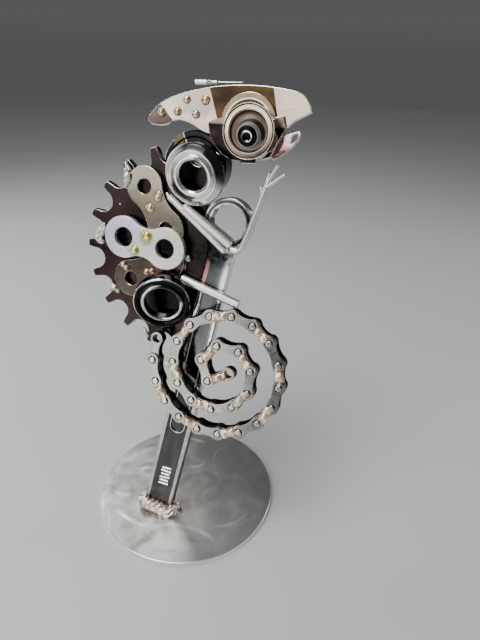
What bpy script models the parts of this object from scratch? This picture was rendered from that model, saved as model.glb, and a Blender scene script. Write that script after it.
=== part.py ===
"""Scrap metal chameleon sculpture, welded from a spanner, chain parts, a sprocket and bearings.

Metres, +Z up. The origin is the centre of the round base's underside. The figure is built in a
plane that leans back from its foot: there X runs to the right, Y up along the figure and Z towards
the front, and the front faces -Y in the world. The spanner stands on the foot, and every other
place is counted from the middle of the spanner's ring.
"""
import math

import bmesh
import bpy
from mathutils import Matrix, Vector

# Clearance between pieces, the distance under which points are one, and the bend that is flat
GAP = 0.0003
MERGE = 0.000002
FLAT = math.radians(0.2)

# Base disc, and where the figure's foot stands on it
BASE_RADIUS = 0.0600
BASE_THICKNESS = 0.0030
BASE_EDGE = 0.0005
FOOT_PLACE = (-0.0107, -0.0229)
LEAN_BACK = math.radians(11.0)

# Spanner: a tapering shank from the foot to a ring end
SPANNER_LEAN = math.radians(10.85)
SPANNER_FOOT_X = -0.0015
SPANNER_LENGTH = 0.2002
SHANK_FOOT_HALF_WIDTH = 0.0097
SHANK_LOWER_HALF_WIDTH = 0.0092
SHANK_LOWER_HEIGHT = 0.0800
SHANK_NECK_HALF_WIDTH = 0.0075
SHANK_NECK_HEIGHT = 0.1560
SHANK_THICKNESS = 0.0060
SHANK_EDGE = 0.0010
RING_RADIUS = 0.0136
RING_BORE = 0.0101
RING_CORNERS = 12
RING_THICKNESS = 0.0076
RING_FILLET = 0.0300
RIM_WIDTH = 0.0024
PANEL_DEPTH = 0.0006
PANEL_TOP = 0.1640
SLOT_FOOT = 0.0690
SLOT_TOP = 0.1560
SLOT_HALF_WIDTH = 0.0046
SLOT_DEPTH = 0.0007

# Weld collar round the foot
WELD_RADIUS = 0.0048

# Sprocket: the toothed crest of the back
SPROCKET_CENTRE = (-0.0270, -0.0202)
SPROCKET_TEETH = 20
SPROCKET_TIP_RADIUS = 0.0583
SPROCKET_SEAT_RADIUS = 0.0543
SEAT_ROUNDING = 0.0058
TOOTH_TIP_WIDTH = 0.0038
TOOTH_PHASE = math.radians(107.9)
SPROCKET_THICKNESS = 0.0050

# Three large chain side plates: middle point, turn, and sizes
PLATE_PITCH = 0.0254
PLATE_THICKNESS = 0.0032
UPPER_PLATE_CENTRE = (-0.0413, 0.0043)
UPPER_PLATE_TURN = math.radians(121.4)
MIDDLE_PLATE_CENTRE = (-0.0460, -0.0149)
MIDDLE_PLATE_TURN = math.radians(-8.3)
LOWER_PLATE_CENTRE = (-0.0447, -0.0304)
LOWER_PLATE_TURN = math.radians(30.7)
PIN_PLATE_RADIUS = 0.0107
PIN_PLATE_WAIST = 0.0079
PIN_PLATE_HOLE = 0.0040
MIDDLE_PLATE_RADIUS = 0.0117
MIDDLE_PLATE_WAIST = 0.0080
MIDDLE_PLATE_HOLE = 0.0055

# Rods of the arms and the leg, each from end to end
LOWER_ROD_RADIUS = 0.0017
UPPER_ROD_RADIUS = 0.0021
LEG_ROD_RADIUS = 0.0025
UPPER_ROD_LIFT = 0.0024
NEAR_LOWER_ROD = ((-0.0334, 0.0114), (0.0001, -0.0146))
NEAR_UPPER_ROD = ((-0.0232, 0.0076), (0.0042, -0.0101))
FAR_ROD = ((-0.0143, -0.0020), (0.0000, -0.0113))
LEG_ROD = ((-0.0240, -0.0324), (0.0102, -0.0428))

# Shoulder bearing, tipped forward beside the arm rods, and the drum behind it
SHOULDER_CENTRE = (-0.0162, 0.0240)
SHOULDER_RADIUS = 0.0154
SHOULDER_WIDTH = 0.0060
SHOULDER_RACE_WALL = 0.0040
SHOULDER_BORE = 0.0080
SHOULDER_TIP = math.radians(13.0)
SHOULDER_DROP = 0.0031
DRUM_CENTRE = (-0.0230, 0.0279)
DRUM_RADIUS = 0.0178
DRUM_WIDTH = 0.0110
DRUM_BORE = 0.0075

# Hip bearing, tipped down and turned to the right
HIP_CENTRE = (-0.0333, -0.0449)
HIP_RADIUS = 0.0160
HIP_WIDTH = 0.0060
HIP_RACE_WALL = 0.0034
HIP_BORE = 0.0098
HIP_TIP = math.radians(17.0)
HIP_TURN = math.radians(18.0)

# Head: a flat plate, a cheek plate over it and an eye on each side
HEAD_THICKNESS = 0.0032
HEAD_TOP = ((-0.0490, 0.0491), (-0.0479, 0.0516), (-0.0420, 0.0573), (-0.0309, 0.0622),
            (-0.0149, 0.0659), (0.0007, 0.0674), (0.0158, 0.0672), (0.0297, 0.0653),
            (0.0349, 0.0620), (0.0375, 0.0564))
HEAD_BEAK_UNDER = ((0.0375, 0.0560), (0.0338, 0.0544), (0.0297, 0.0521), (0.0266, 0.0492))
HEAD_HORN_UNDER = ((-0.0152, 0.0440), (-0.0191, 0.0454), (-0.0248, 0.0482),
                   (-0.0304, 0.0496), (-0.0338, 0.0492), (-0.0371, 0.0473),
                   (-0.0417, 0.0464), (-0.0469, 0.0468))
EYE_CENTRE = (0.0101, 0.0456)
EYE_RADIUS = 0.0128
EYE_WIDTH = 0.0100
EYE_STEP_RADIUS = 0.0103
EYE_DISH_RADIUS = 0.0090
EYE_DISH_DEPTH = 0.0024
EYE_RIM = 0.0004
THROAT_RADIUS = 0.0126
CHEEK_THICKNESS = 0.0017
CHEEK_ARCH_CENTRE = (0.0068, 0.0500)
CHEEK_ARCH_RADIUS = 0.0142
CHEEK_LEFT = ((-0.0137, 0.0498), (-0.0144, 0.0484), (-0.0130, 0.0428), (-0.0103, 0.0386),
              (-0.0057, 0.0342))
CHEEK_FOOT = ((-0.0018, 0.0325), (0.0040, 0.0319), (0.0042, 0.0308), (0.0126, 0.0312),
              (0.0124, 0.0324))
CHEEK_RIGHT = ((0.0195, 0.0348), (0.0240, 0.0446), (0.0261, 0.0486), (0.0245, 0.0543))

# Turret of each eye: a cone that looks a little down, and its black pupil ring
TURRET_MID_RADIUS = 0.0060
TURRET_FRONT_RADIUS = 0.0052
TURRET_LENGTH = 0.0090
TURRET_FOOT_HEIGHT = 0.0027
TURRET_TIP = math.radians(14.0)
PUPIL_RADIUS = 0.0046
PUPIL_LENGTH = 0.0016
PUPIL_BORE = 0.0012
PUPIL_BORE_DEPTH = 0.0010
PUPIL_SEAT = 0.0004

# Jaw, with a mouth's gap under the beak
JAW_POINTS = ((0.0261, 0.0459), (0.0325, 0.0479), (0.0334, 0.0471), (0.0325, 0.0434),
              (0.0285, 0.0390), (0.0238, 0.0354), (0.0206, 0.0335))

# Pin that lies on the head's top edge
CREST_PIN_START = (-0.0234, 0.0680)
CREST_PIN_END = (0.0014, 0.0685)
CREST_PIN_STEPS = ((0.0065, 0.00125), (0.0120, 0.00095), (0.0250, 0.00050))

# Forearm: a bent strip that narrows to the wrist, and its fingers
STRIP_POINTS = ((0.0041, -0.0124), (0.0070, -0.0128), (0.0088, -0.0121), (0.0104, -0.0099),
                (0.0118, -0.0061), (0.0151, 0.0040), (0.0184, 0.0143), (0.0204, 0.0208))
STRIP_FOOT_RADIUS = 0.0018
STRIP_WRIST_RADIUS = 0.0013
FINGER_RADIUS = 0.0008
LONG_FINGER = ((0.0200, 0.0194), (0.0220, 0.0252), (0.0251, 0.0314))
SIDE_FINGER = ((0.0204, 0.0206), (0.0250, 0.0244), (0.0293, 0.0277))
SHORT_FINGER = ((0.0198, 0.0199), (0.0209, 0.0249), (0.0213, 0.0274))
THUMB = ((0.0196, 0.0174), (0.0181, 0.0182), (0.0174, 0.0206))
FAR_ARM_SHIFT = -0.0030

# Tail: roller chain coiled by its radius at each half turn, leaning back a little more
CHAIN_PITCH = 0.0127
CHAIN_LINKS = 29
CHAIN_PLATE_RADIUS = 0.0042
CHAIN_PLATE_WAIST = 0.0032
CHAIN_PLATE_THICKNESS = 0.0011
CHAIN_INNER_WIDTH = 0.0033
CHAIN_ROLLER_RADIUS = 0.0034
CHAIN_BORE = 0.0025
CHAIN_PIN_RADIUS = 0.0018
TAIL_HEIGHT = -0.0479
TAIL_TIP = math.radians(6.0)
COIL_CENTRE = (0.0057, -0.0328)
COIL_START = math.radians(164.1)
COIL_RADII = (0.0429, 0.0336, 0.0304, 0.0178, 0.0133, 0.0038)

# Layers of the figure, counted towards the front from its middle plane
BACK_LAYER = SPROCKET_THICKNESS / 2 + GAP
MIDDLE_LAYER = BACK_LAYER + PLATE_THICKNESS + GAP
LOWER_ROD_LAYER = RING_THICKNESS / 2 + GAP + LOWER_ROD_RADIUS
UPPER_ROD_LAYER = LOWER_ROD_LAYER + UPPER_ROD_LIFT
FAR_ARM_LAYER = -RING_THICKNESS / 2 - GAP - UPPER_ROD_RADIUS
LEG_LAYER = SHANK_THICKNESS / 2 + GAP + LEG_ROD_RADIUS
HEAD_LAYER = (HEAD_THICKNESS - SPROCKET_THICKNESS) / 2
CHEEK_LAYER = HEAD_LAYER + HEAD_THICKNESS / 2 + GAP
EYE_LAYER = CHEEK_LAYER + CHEEK_THICKNESS + GAP
SHOULDER_LAYER = (UPPER_ROD_LAYER + UPPER_ROD_RADIUS - SHOULDER_DROP
                  + SHOULDER_RADIUS * math.sin(SHOULDER_TIP))
HIP_SWING = math.hypot(math.sin(HIP_TIP), math.sin(HIP_TURN))
HIP_LAYER = BACK_LAYER + HIP_RADIUS * HIP_SWING
CHAIN_HALF_WIDTH = CHAIN_INNER_WIDTH / 2 + 2 * CHAIN_PLATE_THICKNESS + GAP
TAIL_LAYER = SHANK_THICKNESS / 2 + GAP + CHAIN_HALF_WIDTH

# Facets of round pieces
RING_STEPS = 20
SMALL_STEPS = 14
ROD_STEPS = 2
LINK_STEPS = 6

# The widest turret foot that can tip inside the faceted dish
TURRET_ROOM = EYE_DISH_RADIUS * math.cos(math.pi / RING_STEPS) - GAP
TURRET_FOOT_RADIUS = ((TURRET_ROOM - TURRET_FOOT_HEIGHT * math.sin(TURRET_TIP))
                      / math.cos(TURRET_TIP))

for old in list(bpy.data.objects):
    bpy.data.objects.remove(old, do_unlink=True)

PARTS = bpy.data.collections.new("scrap_metal_chameleon")
CUTTERS = bpy.data.collections.new("cutters")
bpy.context.scene.collection.children.link(PARTS)
bpy.context.scene.collection.children.link(CUTTERS)


def make_material(name, colour, metallic, roughness):
    material = bpy.data.materials.new(name)
    material.use_nodes = True
    shader = material.node_tree.nodes["Principled BSDF"]
    shader.inputs["Base Color"].default_value = (*colour, 1.0)
    shader.inputs["Metallic"].default_value = metallic
    shader.inputs["Roughness"].default_value = roughness
    return material


GROUND_STEEL = make_material("ground_steel", (0.42, 0.42, 0.41), 1.0, 0.42)
CHROME = make_material("chrome", (0.72, 0.73, 0.72), 1.0, 0.14)
DARK_STEEL = make_material("dark_steel", (0.10, 0.08, 0.08), 1.0, 0.34)
BRONZED_STEEL = make_material("bronzed_steel", (0.27, 0.24, 0.21), 1.0, 0.30)
SATIN_STEEL = make_material("satin_steel", (0.60, 0.60, 0.64), 1.0, 0.26)
BLACK_STEEL = make_material("black_steel", (0.03, 0.03, 0.035), 1.0, 0.12)
POLISHED_STEEL = make_material("polished_steel", (0.55, 0.50, 0.47), 1.0, 0.12)
CHAIN_STEEL = make_material("chain_steel", (0.45, 0.43, 0.42), 1.0, 0.24)
WELD_METAL = make_material("weld_metal", (0.62, 0.60, 0.56), 1.0, 0.28)


def place(name, mesh, material, parent, location=(0, 0, 0), rotation=(0, 0, 0)):
    """Puts a mesh in the scene as a named piece."""
    piece = bpy.data.objects.new(name, mesh)
    PARTS.objects.link(piece)
    piece.parent = parent
    piece.location = location
    piece.rotation_euler = rotation
    if not mesh.materials:
        mesh.materials.append(material)
    return piece


def place_cutter(name, mesh, parent, location=(0, 0, 0), rotation=(0, 0, 0)):
    cutter = bpy.data.objects.new(name, mesh)
    CUTTERS.objects.link(cutter)
    cutter.parent = parent
    cutter.location = location
    cutter.rotation_euler = rotation
    cutter.hide_render = True
    cutter.display_type = "WIRE"
    return cutter


def cut(piece, cutter):
    modifier = piece.modifiers.new(cutter.name, "BOOLEAN")
    modifier.operation = "DIFFERENCE"
    modifier.solver = "EXACT"
    modifier.object = cutter


def make_empty(name, parent, location, rotation):
    empty = bpy.data.objects.new(name, None)
    PARTS.objects.link(empty)
    empty.parent = parent
    empty.location = location
    empty.rotation_euler = rotation
    empty.empty_display_size = 0.02
    return empty


def settled_mesh(item, name):
    """The evaluated mesh of an object, closed and with its faces pointing out; the object goes."""
    bpy.context.view_layer.update()
    graph = bpy.context.evaluated_depsgraph_get()
    mesh = bpy.data.meshes.new_from_object(item.evaluated_get(graph))
    mesh.name = name
    source = item.data
    bpy.data.objects.remove(item, do_unlink=True)
    if source.users == 0 and isinstance(source, bpy.types.Curve):
        bpy.data.curves.remove(source)
    shape = bmesh.new()
    shape.from_mesh(mesh)
    bmesh.ops.remove_doubles(shape, verts=shape.verts, dist=MERGE)
    bmesh.ops.dissolve_limit(shape, angle_limit=FLAT, verts=shape.verts, edges=shape.edges)
    bmesh.ops.recalc_face_normals(shape, faces=shape.faces)
    shape.to_mesh(mesh)
    shape.free()
    return mesh


def joined_mesh(name, base, tools, operation):
    """Joins tools to a mesh, or cuts it with them."""
    holder = bpy.data.objects.new(name, base)
    PARTS.objects.link(holder)
    helpers = []
    for number, tool in enumerate(tools):
        helper = bpy.data.objects.new(f"{name}_tool_{number}", tool)
        CUTTERS.objects.link(helper)
        modifier = holder.modifiers.new(helper.name, "BOOLEAN")
        modifier.operation = operation
        modifier.solver = "EXACT"
        modifier.object = helper
        helpers.append(helper)
    mesh = settled_mesh(holder, name)
    for helper in helpers:
        bpy.data.objects.remove(helper, do_unlink=True)
    return mesh


def moved(mesh, matrix):
    copy = mesh.copy()
    copy.transform(matrix)
    return copy


def smooth(mesh, angle=35.0):
    mesh.shade_smooth()
    mesh.set_sharp_from_angle(angle=math.radians(angle))
    return mesh


def arc(centre, radius, start, end, steps):
    """Points along an arc, both ends included; angles in radians."""
    points = []
    for i in range(steps + 1):
        angle = start + (end - start) * i / steps
        points.append((centre[0] + radius * math.cos(angle), centre[1] + radius * math.sin(angle)))
    return points


def circle(centre, radius, steps, turn=0.0):
    return arc(centre, radius, turn, turn + math.tau * (steps - 1) / steps, steps - 1)


def soft_line(points, pieces=2):
    """A smooth line through points, each stretch in a few straight pieces."""
    line = []
    last = len(points) - 1
    for i in range(last):
        before, start = Vector(points[max(i - 1, 0)]), Vector(points[i])
        end, after = Vector(points[i + 1]), Vector(points[min(i + 2, last)])
        for k in range(pieces):
            t = k / pieces
            point = 0.5 * (2 * start + (end - before) * t
                           + (2 * before - 5 * start + 4 * end - after) * t * t
                           + (3 * start - before - 3 * end + after) * t ** 3)
            line.append(tuple(point))
    line.append(tuple(points[last]))
    return line


def flat_mesh(name, outlines, thickness, edge=0.0):
    """A plate from closed outlines, the first its edge and the others its holes."""
    curve = bpy.data.curves.new(name, "CURVE")
    curve.dimensions = "2D"
    curve.fill_mode = "BOTH"
    curve.extrude = thickness / 2 - edge
    curve.bevel_depth = edge
    curve.bevel_resolution = 0
    curve.offset = -edge
    for outline in outlines:
        spline = curve.splines.new("POLY")
        spline.points.add(len(outline) - 1)
        for point, (x, y) in zip(spline.points, outline):
            point.co = (x, y, 0.0, 1.0)
        spline.use_cyclic_u = True
    holder = bpy.data.objects.new(name, curve)
    PARTS.objects.link(holder)
    return settled_mesh(holder, name)


def turned_mesh(name, profile, steps, closed=True):
    """A turned piece about Z; a closed profile is a ring, an open one ends on the axis."""
    mesh = bpy.data.meshes.new(name)
    points = [(radius, 0.0, height) for radius, height in profile]
    edges = [(i, i + 1) for i in range(len(points) - 1)]
    if closed:
        edges.append((len(points) - 1, 0))
    mesh.from_pydata(points, edges, [])
    holder = bpy.data.objects.new(name, mesh)
    PARTS.objects.link(holder)
    screw = holder.modifiers.new("turn", "SCREW")
    screw.steps = steps
    screw.render_steps = steps
    screw.use_merge_vertices = True
    screw.merge_threshold = MERGE
    return smooth(settled_mesh(holder, name))


def rod_mesh(name, points, radii, bevel_resolution=ROD_STEPS):
    """A round bar along points, with a radius at each."""
    curve = bpy.data.curves.new(name, "CURVE")
    curve.dimensions = "3D"
    curve.bevel_depth = 1.0
    curve.bevel_resolution = bevel_resolution
    curve.use_fill_caps = True
    spline = curve.splines.new("POLY")
    spline.points.add(len(points) - 1)
    for point, place_on, radius in zip(spline.points, points, radii):
        point.co = (*place_on, 1.0)
        point.radius = radius
    holder = bpy.data.objects.new(name, curve)
    PARTS.objects.link(holder)
    return smooth(settled_mesh(holder, name))


def box_mesh(name, low, high):
    shape = bmesh.new()
    bmesh.ops.create_cube(shape, size=1.0)
    size = [b - a for a, b in zip(low, high)]
    middle = [(a + b) / 2 for a, b in zip(low, high)]
    matrix = Matrix.Translation(middle) @ Matrix.Diagonal((*size, 1.0))
    bmesh.ops.transform(shape, matrix=matrix, verts=shape.verts)
    mesh = bpy.data.meshes.new(name)
    shape.to_mesh(mesh)
    shape.free()
    return mesh


def cylinder_mesh(name, centre, radius, low, high, steps):
    """A round bar along Z from low to high."""
    shape = bmesh.new()
    matrix = Matrix.Translation((*centre, (low + high) / 2))
    bmesh.ops.create_cone(shape, cap_ends=True, segments=steps, radius1=radius, radius2=radius,
                          depth=high - low, matrix=matrix)
    mesh = bpy.data.meshes.new(name)
    shape.to_mesh(mesh)
    shape.free()
    return mesh


def ring_profile(outer, bore, width, edge):
    """Section of a plain ring, its front corner taken off, counted from its rear face."""
    return ((outer, width - edge), (outer, 0.0), (bore, 0.0), (bore, width),
            (outer - edge, width))


# Frames that the pieces are placed in
FIGURE = make_empty("figure_plane", None, (*FOOT_PLACE, BASE_THICKNESS),
                    (math.pi / 2 - LEAN_BACK, 0, 0))
SPANNER_AXIS = make_empty("spanner_axis", FIGURE, (SPANNER_FOOT_X, 0, 0), (0, 0, -SPANNER_LEAN))
BODY = make_empty("body_plane", FIGURE,
                  (SPANNER_FOOT_X + SPANNER_LENGTH * math.sin(SPANNER_LEAN),
                   SPANNER_LENGTH * math.cos(SPANNER_LEAN), 0), (0, 0, 0))
TAIL = make_empty("tail_plane", BODY, (0, TAIL_HEIGHT, TAIL_LAYER), (-TAIL_TIP, 0, 0))

# The lowest point of the shank that stays clear of the disc when it leans back
SHANK_FOOT = (SHANK_THICKNESS / 2 * math.tan(LEAN_BACK) + GAP / math.cos(LEAN_BACK)
              + SHANK_FOOT_HALF_WIDTH * math.tan(SPANNER_LEAN))


def shank_side(offset=0.0):
    """Left side of the spanner from its foot to the ring, moved out by an offset."""
    ring = RING_RADIUS + offset - GAP
    neck = SHANK_NECK_HALF_WIDTH + offset
    run = math.sqrt((ring + RING_FILLET) ** 2 - (neck + RING_FILLET) ** 2)
    centre = (-neck - RING_FILLET, SPANNER_LENGTH - run)
    touch = math.atan2(run, neck + RING_FILLET)
    foot = (-SHANK_FOOT_HALF_WIDTH - offset, SHANK_FOOT)
    lower = (-SHANK_LOWER_HALF_WIDTH - offset, SHANK_LOWER_HEIGHT)
    return [foot, lower, (-neck, SHANK_NECK_HEIGHT)] + arc(centre, RING_FILLET, 0.0, touch, 4)


def mirrored(points):
    return [(-x, y) for x, y in reversed(points)]


def build_base():
    profile = ((0.0, BASE_THICKNESS), (BASE_RADIUS - BASE_EDGE, BASE_THICKNESS),
               (BASE_RADIUS, BASE_THICKNESS - BASE_EDGE), (BASE_RADIUS, BASE_EDGE),
               (BASE_RADIUS - BASE_EDGE, 0.0), (0.0, 0.0))
    mesh = turned_mesh("base_disc", profile, 40, closed=False)
    place("base_disc", mesh, GROUND_STEEL, None)


def build_spanner():
    side = shank_side()
    shank = flat_mesh("shank", [side + [(0.0, SPANNER_LENGTH)] + mirrored(side)], SHANK_THICKNESS,
                      SHANK_EDGE)
    half_ring = RING_THICKNESS / 2
    ring = cylinder_mesh("ring", (0.0, SPANNER_LENGTH), RING_RADIUS, -half_ring, half_ring, 28)
    body = joined_mesh("spanner_body", shank, [ring], "UNION")
    bore = cylinder_mesh("bore", (0.0, SPANNER_LENGTH), RING_BORE, -RING_THICKNESS,
                         RING_THICKNESS, RING_CORNERS)
    panel_side = [(-SHANK_LOWER_HALF_WIDTH + RIM_WIDTH - GAP, SHANK_FOOT - RIM_WIDTH),
                  (-SHANK_LOWER_HALF_WIDTH + RIM_WIDTH, SHANK_LOWER_HEIGHT),
                  (-SHANK_NECK_HALF_WIDTH + RIM_WIDTH, PANEL_TOP)]
    panel = flat_mesh("panel", [panel_side + mirrored(panel_side)], SHANK_THICKNESS)
    slot_outline = (arc((0.0, SLOT_FOOT), SLOT_HALF_WIDTH, math.pi, math.tau, 4)
                    + arc((0.0, SLOT_TOP), SLOT_HALF_WIDTH, 0.0, math.pi, 4))
    slot = flat_mesh("slot", [slot_outline], SHANK_THICKNESS)
    panel_shift = SHANK_THICKNESS - PANEL_DEPTH
    slot_shift = panel_shift - SLOT_DEPTH
    tools = [bore,
             moved(panel, Matrix.Translation((0, 0, panel_shift))),
             moved(panel, Matrix.Translation((0, 0, -panel_shift))),
             moved(slot, Matrix.Translation((0, 0, slot_shift)))]
    mesh = smooth(joined_mesh("spanner", body, tools, "DIFFERENCE"), 30.0)
    place("spanner", mesh, CHROME, SPANNER_AXIS)


def build_foot_weld():
    """A bead round the shank's foot, clear of the shank and cut flat above the disc."""
    width = SHANK_FOOT_HALF_WIDTH
    depth = SHANK_THICKNESS / 2
    foot = SHANK_FOOT
    corners = [(-width, depth), (width, depth), (width, -depth), (-width, -depth)]
    curve = bpy.data.curves.new("foot_weld", "CURVE")
    curve.dimensions = "3D"
    curve.bevel_depth = WELD_RADIUS
    curve.bevel_resolution = ROD_STEPS
    spline = curve.splines.new("POLY")
    spline.points.add(4 * 3 - 1)
    number = 0
    for (x0, z0), (x1, z1) in zip(corners, corners[1:] + corners[:1]):
        for share in (0.08, 0.5, 0.92):
            spline.points[number].co = (x0 + (x1 - x0) * share, foot, z0 + (z1 - z0) * share, 1.0)
            number += 1
    spline.use_cyclic_u = True
    holder = bpy.data.objects.new("foot_weld", curve)
    PARTS.objects.link(holder)
    bead = place("foot_weld", smooth(settled_mesh(holder, "foot_weld")), WELD_METAL, SPANNER_AXIS)
    reach = 3 * WELD_RADIUS
    shank = box_mesh("weld_shank_cutter", (-width - GAP, -reach, -depth - GAP),
                     (width + GAP, reach, depth + GAP))
    cut(bead, place_cutter("weld_shank_cutter", shank, SPANNER_AXIS))
    floor = box_mesh("weld_floor_cutter", (-BASE_RADIUS, -BASE_RADIUS, -BASE_RADIUS),
                     (BASE_RADIUS, BASE_RADIUS, BASE_THICKNESS + GAP))
    cut(bead, place_cutter("weld_floor_cutter", floor, None))


def sprocket_outline():
    """Teeth and round seats, one pitch after another."""
    pitch = math.tau / SPROCKET_TEETH
    outline = []
    for tooth in range(SPROCKET_TEETH):
        tip = TOOTH_PHASE + pitch * tooth
        half_tip = TOOTH_TIP_WIDTH / 2 / SPROCKET_TIP_RADIUS
        outline += arc((0.0, 0.0), SPROCKET_TIP_RADIUS, tip - half_tip, tip + half_tip, 1)
        middle = tip + pitch / 2
        seat = (SPROCKET_SEAT_RADIUS * math.cos(middle), SPROCKET_SEAT_RADIUS * math.sin(middle))
        outline += arc(seat, SEAT_ROUNDING, middle - math.radians(92),
                       middle - math.radians(268), 4)
    return outline


def build_crest():
    mesh = flat_mesh("crest_sprocket", [sprocket_outline()], SPROCKET_THICKNESS)
    crest = place("crest_sprocket", mesh, DARK_STEEL, BODY, (*SPROCKET_CENTRE, 0))
    reach = 2 * SPROCKET_TIP_RADIUS
    side = shank_side(GAP)
    ring_left = RING_RADIUS + GAP
    side = ([(side[0][0], -reach)] + side[1:]
            + arc((0.0, SPANNER_LENGTH), ring_left, math.radians(207), math.pi, 3)
            + [(-ring_left, SPANNER_LENGTH + reach), (reach, SPANNER_LENGTH + reach),
               (reach, -reach)])
    cutter = flat_mesh("crest_cutter", [side], 3 * SPROCKET_THICKNESS)
    cut(crest, place_cutter("crest_cutter", cutter, SPANNER_AXIS))


def link_outline(pitch, end_radius, waist, end_steps, waist_steps):
    """Figure of eight of a chain plate, from its first hole at the origin along +X."""
    side_radius = ((pitch / 2) ** 2 + waist ** 2 - end_radius ** 2) / (2 * (end_radius - waist))
    rise = waist + side_radius
    touch = math.atan2(rise, pitch / 2)
    outline = arc((0.0, 0.0), end_radius, touch, math.tau - touch, end_steps)
    outline += arc((pitch / 2, -rise), side_radius, math.pi - touch, touch, waist_steps)[1:-1]
    outline += arc((pitch, 0.0), end_radius, touch - math.pi, math.pi - touch, end_steps)
    outline += arc((pitch / 2, rise), side_radius, -touch, touch - math.pi, waist_steps)[1:-1]
    return outline


def back_plate(name, centre, turn, layer, end_radius, waist, hole, material):
    outline = link_outline(PLATE_PITCH, end_radius, waist, 9, 4)
    holes = [circle((0.0, 0.0), hole, 12), circle((PLATE_PITCH, 0.0), hole, 12)]
    mesh = flat_mesh(name, [outline] + holes, PLATE_THICKNESS)
    start = (centre[0] - PLATE_PITCH / 2 * math.cos(turn),
             centre[1] - PLATE_PITCH / 2 * math.sin(turn), layer + PLATE_THICKNESS / 2)
    return place(name, smooth(mesh), material, BODY, start, (0, 0, turn))


def build_back_plates():
    back_plate("back_plate_upper", UPPER_PLATE_CENTRE, UPPER_PLATE_TURN, BACK_LAYER,
               PIN_PLATE_RADIUS, PIN_PLATE_WAIST, PIN_PLATE_HOLE, BRONZED_STEEL)
    back_plate("back_plate_middle", MIDDLE_PLATE_CENTRE, MIDDLE_PLATE_TURN, MIDDLE_LAYER,
               MIDDLE_PLATE_RADIUS, MIDDLE_PLATE_WAIST, MIDDLE_PLATE_HOLE, SATIN_STEEL)
    lower = back_plate("back_plate_lower", LOWER_PLATE_CENTRE, LOWER_PLATE_TURN, BACK_LAYER,
                       PIN_PLATE_RADIUS, PIN_PLATE_WAIST, PIN_PLATE_HOLE, BRONZED_STEEL)
    end = (UPPER_PLATE_CENTRE[0] - PLATE_PITCH / 2 * math.cos(UPPER_PLATE_TURN),
           UPPER_PLATE_CENTRE[1] - PLATE_PITCH / 2 * math.sin(UPPER_PLATE_TURN))
    room = cylinder_mesh("upper_plate_room", end, PIN_PLATE_RADIUS + GAP, 0.0, MIDDLE_LAYER, 24)
    cut(lower, place_cutter("upper_plate_room", room, BODY))


def bearing(name, centre, layer, radius, width, wall, bore, tip, turn, materials):
    """Outer and inner race of a bearing, tipped and turned about its rear face's centre."""
    axis = make_empty(f"{name}_axis", BODY, (*centre, layer), (tip, turn, 0))
    outer = turned_mesh(f"{name}_outer_race", ring_profile(radius, radius - wall, width, 0.0009),
                        RING_STEPS)
    place(f"{name}_outer_race", outer, materials[0], axis)
    inner_radius = radius - wall - GAP
    land = bore + (inner_radius - bore) * 0.45
    inner = turned_mesh(f"{name}_inner_race",
                        ((inner_radius, width * 0.86), (inner_radius, 0.0), (bore, 0.0),
                         (bore, width), (land, width)), RING_STEPS)
    place(f"{name}_inner_race", inner, materials[1], axis)


def build_bearings():
    bearing("shoulder", SHOULDER_CENTRE, SHOULDER_LAYER, SHOULDER_RADIUS, SHOULDER_WIDTH,
            SHOULDER_RACE_WALL, SHOULDER_BORE, SHOULDER_TIP, 0.0, (CHROME, CHROME))
    bearing("hip", HIP_CENTRE, HIP_LAYER, HIP_RADIUS, HIP_WIDTH, HIP_RACE_WALL, HIP_BORE,
            HIP_TIP, HIP_TURN, (BLACK_STEEL, CHROME))
    profile = ring_profile(DRUM_RADIUS, DRUM_BORE, DRUM_WIDTH, 0.0008)
    drum = turned_mesh("shoulder_drum_far", profile, RING_STEPS)
    place("shoulder_drum_far", drum, DARK_STEEL, BODY,
          (*DRUM_CENTRE, -BACK_LAYER - DRUM_WIDTH))


def build_head():
    throat = arc(EYE_CENTRE, THROAT_RADIUS, math.radians(205), math.radians(372), 14)
    outline = (soft_line(HEAD_TOP) + list(HEAD_BEAK_UNDER) + list(reversed(throat))
               + soft_line(HEAD_HORN_UNDER))
    mesh = flat_mesh("head_plate", [outline], HEAD_THICKNESS)
    place("head_plate", smooth(mesh), POLISHED_STEEL, BODY, (0, 0, HEAD_LAYER))
    arch = arc(CHEEK_ARCH_CENTRE, CHEEK_ARCH_RADIUS, math.radians(14), math.radians(172), 12)
    cheek = arch + list(CHEEK_LEFT) + list(CHEEK_FOOT) + list(CHEEK_RIGHT)
    mesh = flat_mesh("cheek_plate", [cheek], CHEEK_THICKNESS)
    place("cheek_plate", smooth(mesh), POLISHED_STEEL, BODY,
          (0, 0, CHEEK_LAYER + CHEEK_THICKNESS / 2))


def build_jaw():
    start = math.radians(-48)
    end = math.radians(-4)
    hinge = arc(EYE_CENTRE, THROAT_RADIUS + GAP, start, end, 5)
    mesh = flat_mesh("jaw", [list(JAW_POINTS) + hinge], HEAD_THICKNESS)
    place("jaw", smooth(mesh), CHROME, BODY, (0, 0, HEAD_LAYER))


def eye_ring_mesh(name):
    """Eye ring from its rear face: a band with a chamfered edge, sloping into a dish."""
    profile = ((EYE_RADIUS, EYE_WIDTH - EYE_RIM), (EYE_RADIUS, 0.0), (EYE_DISH_RADIUS, 0.0),
               (EYE_DISH_RADIUS, EYE_WIDTH - EYE_DISH_DEPTH), (EYE_STEP_RADIUS, EYE_WIDTH),
               (EYE_RADIUS - EYE_RIM, EYE_WIDTH))
    return turned_mesh(name, profile, RING_STEPS)


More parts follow.
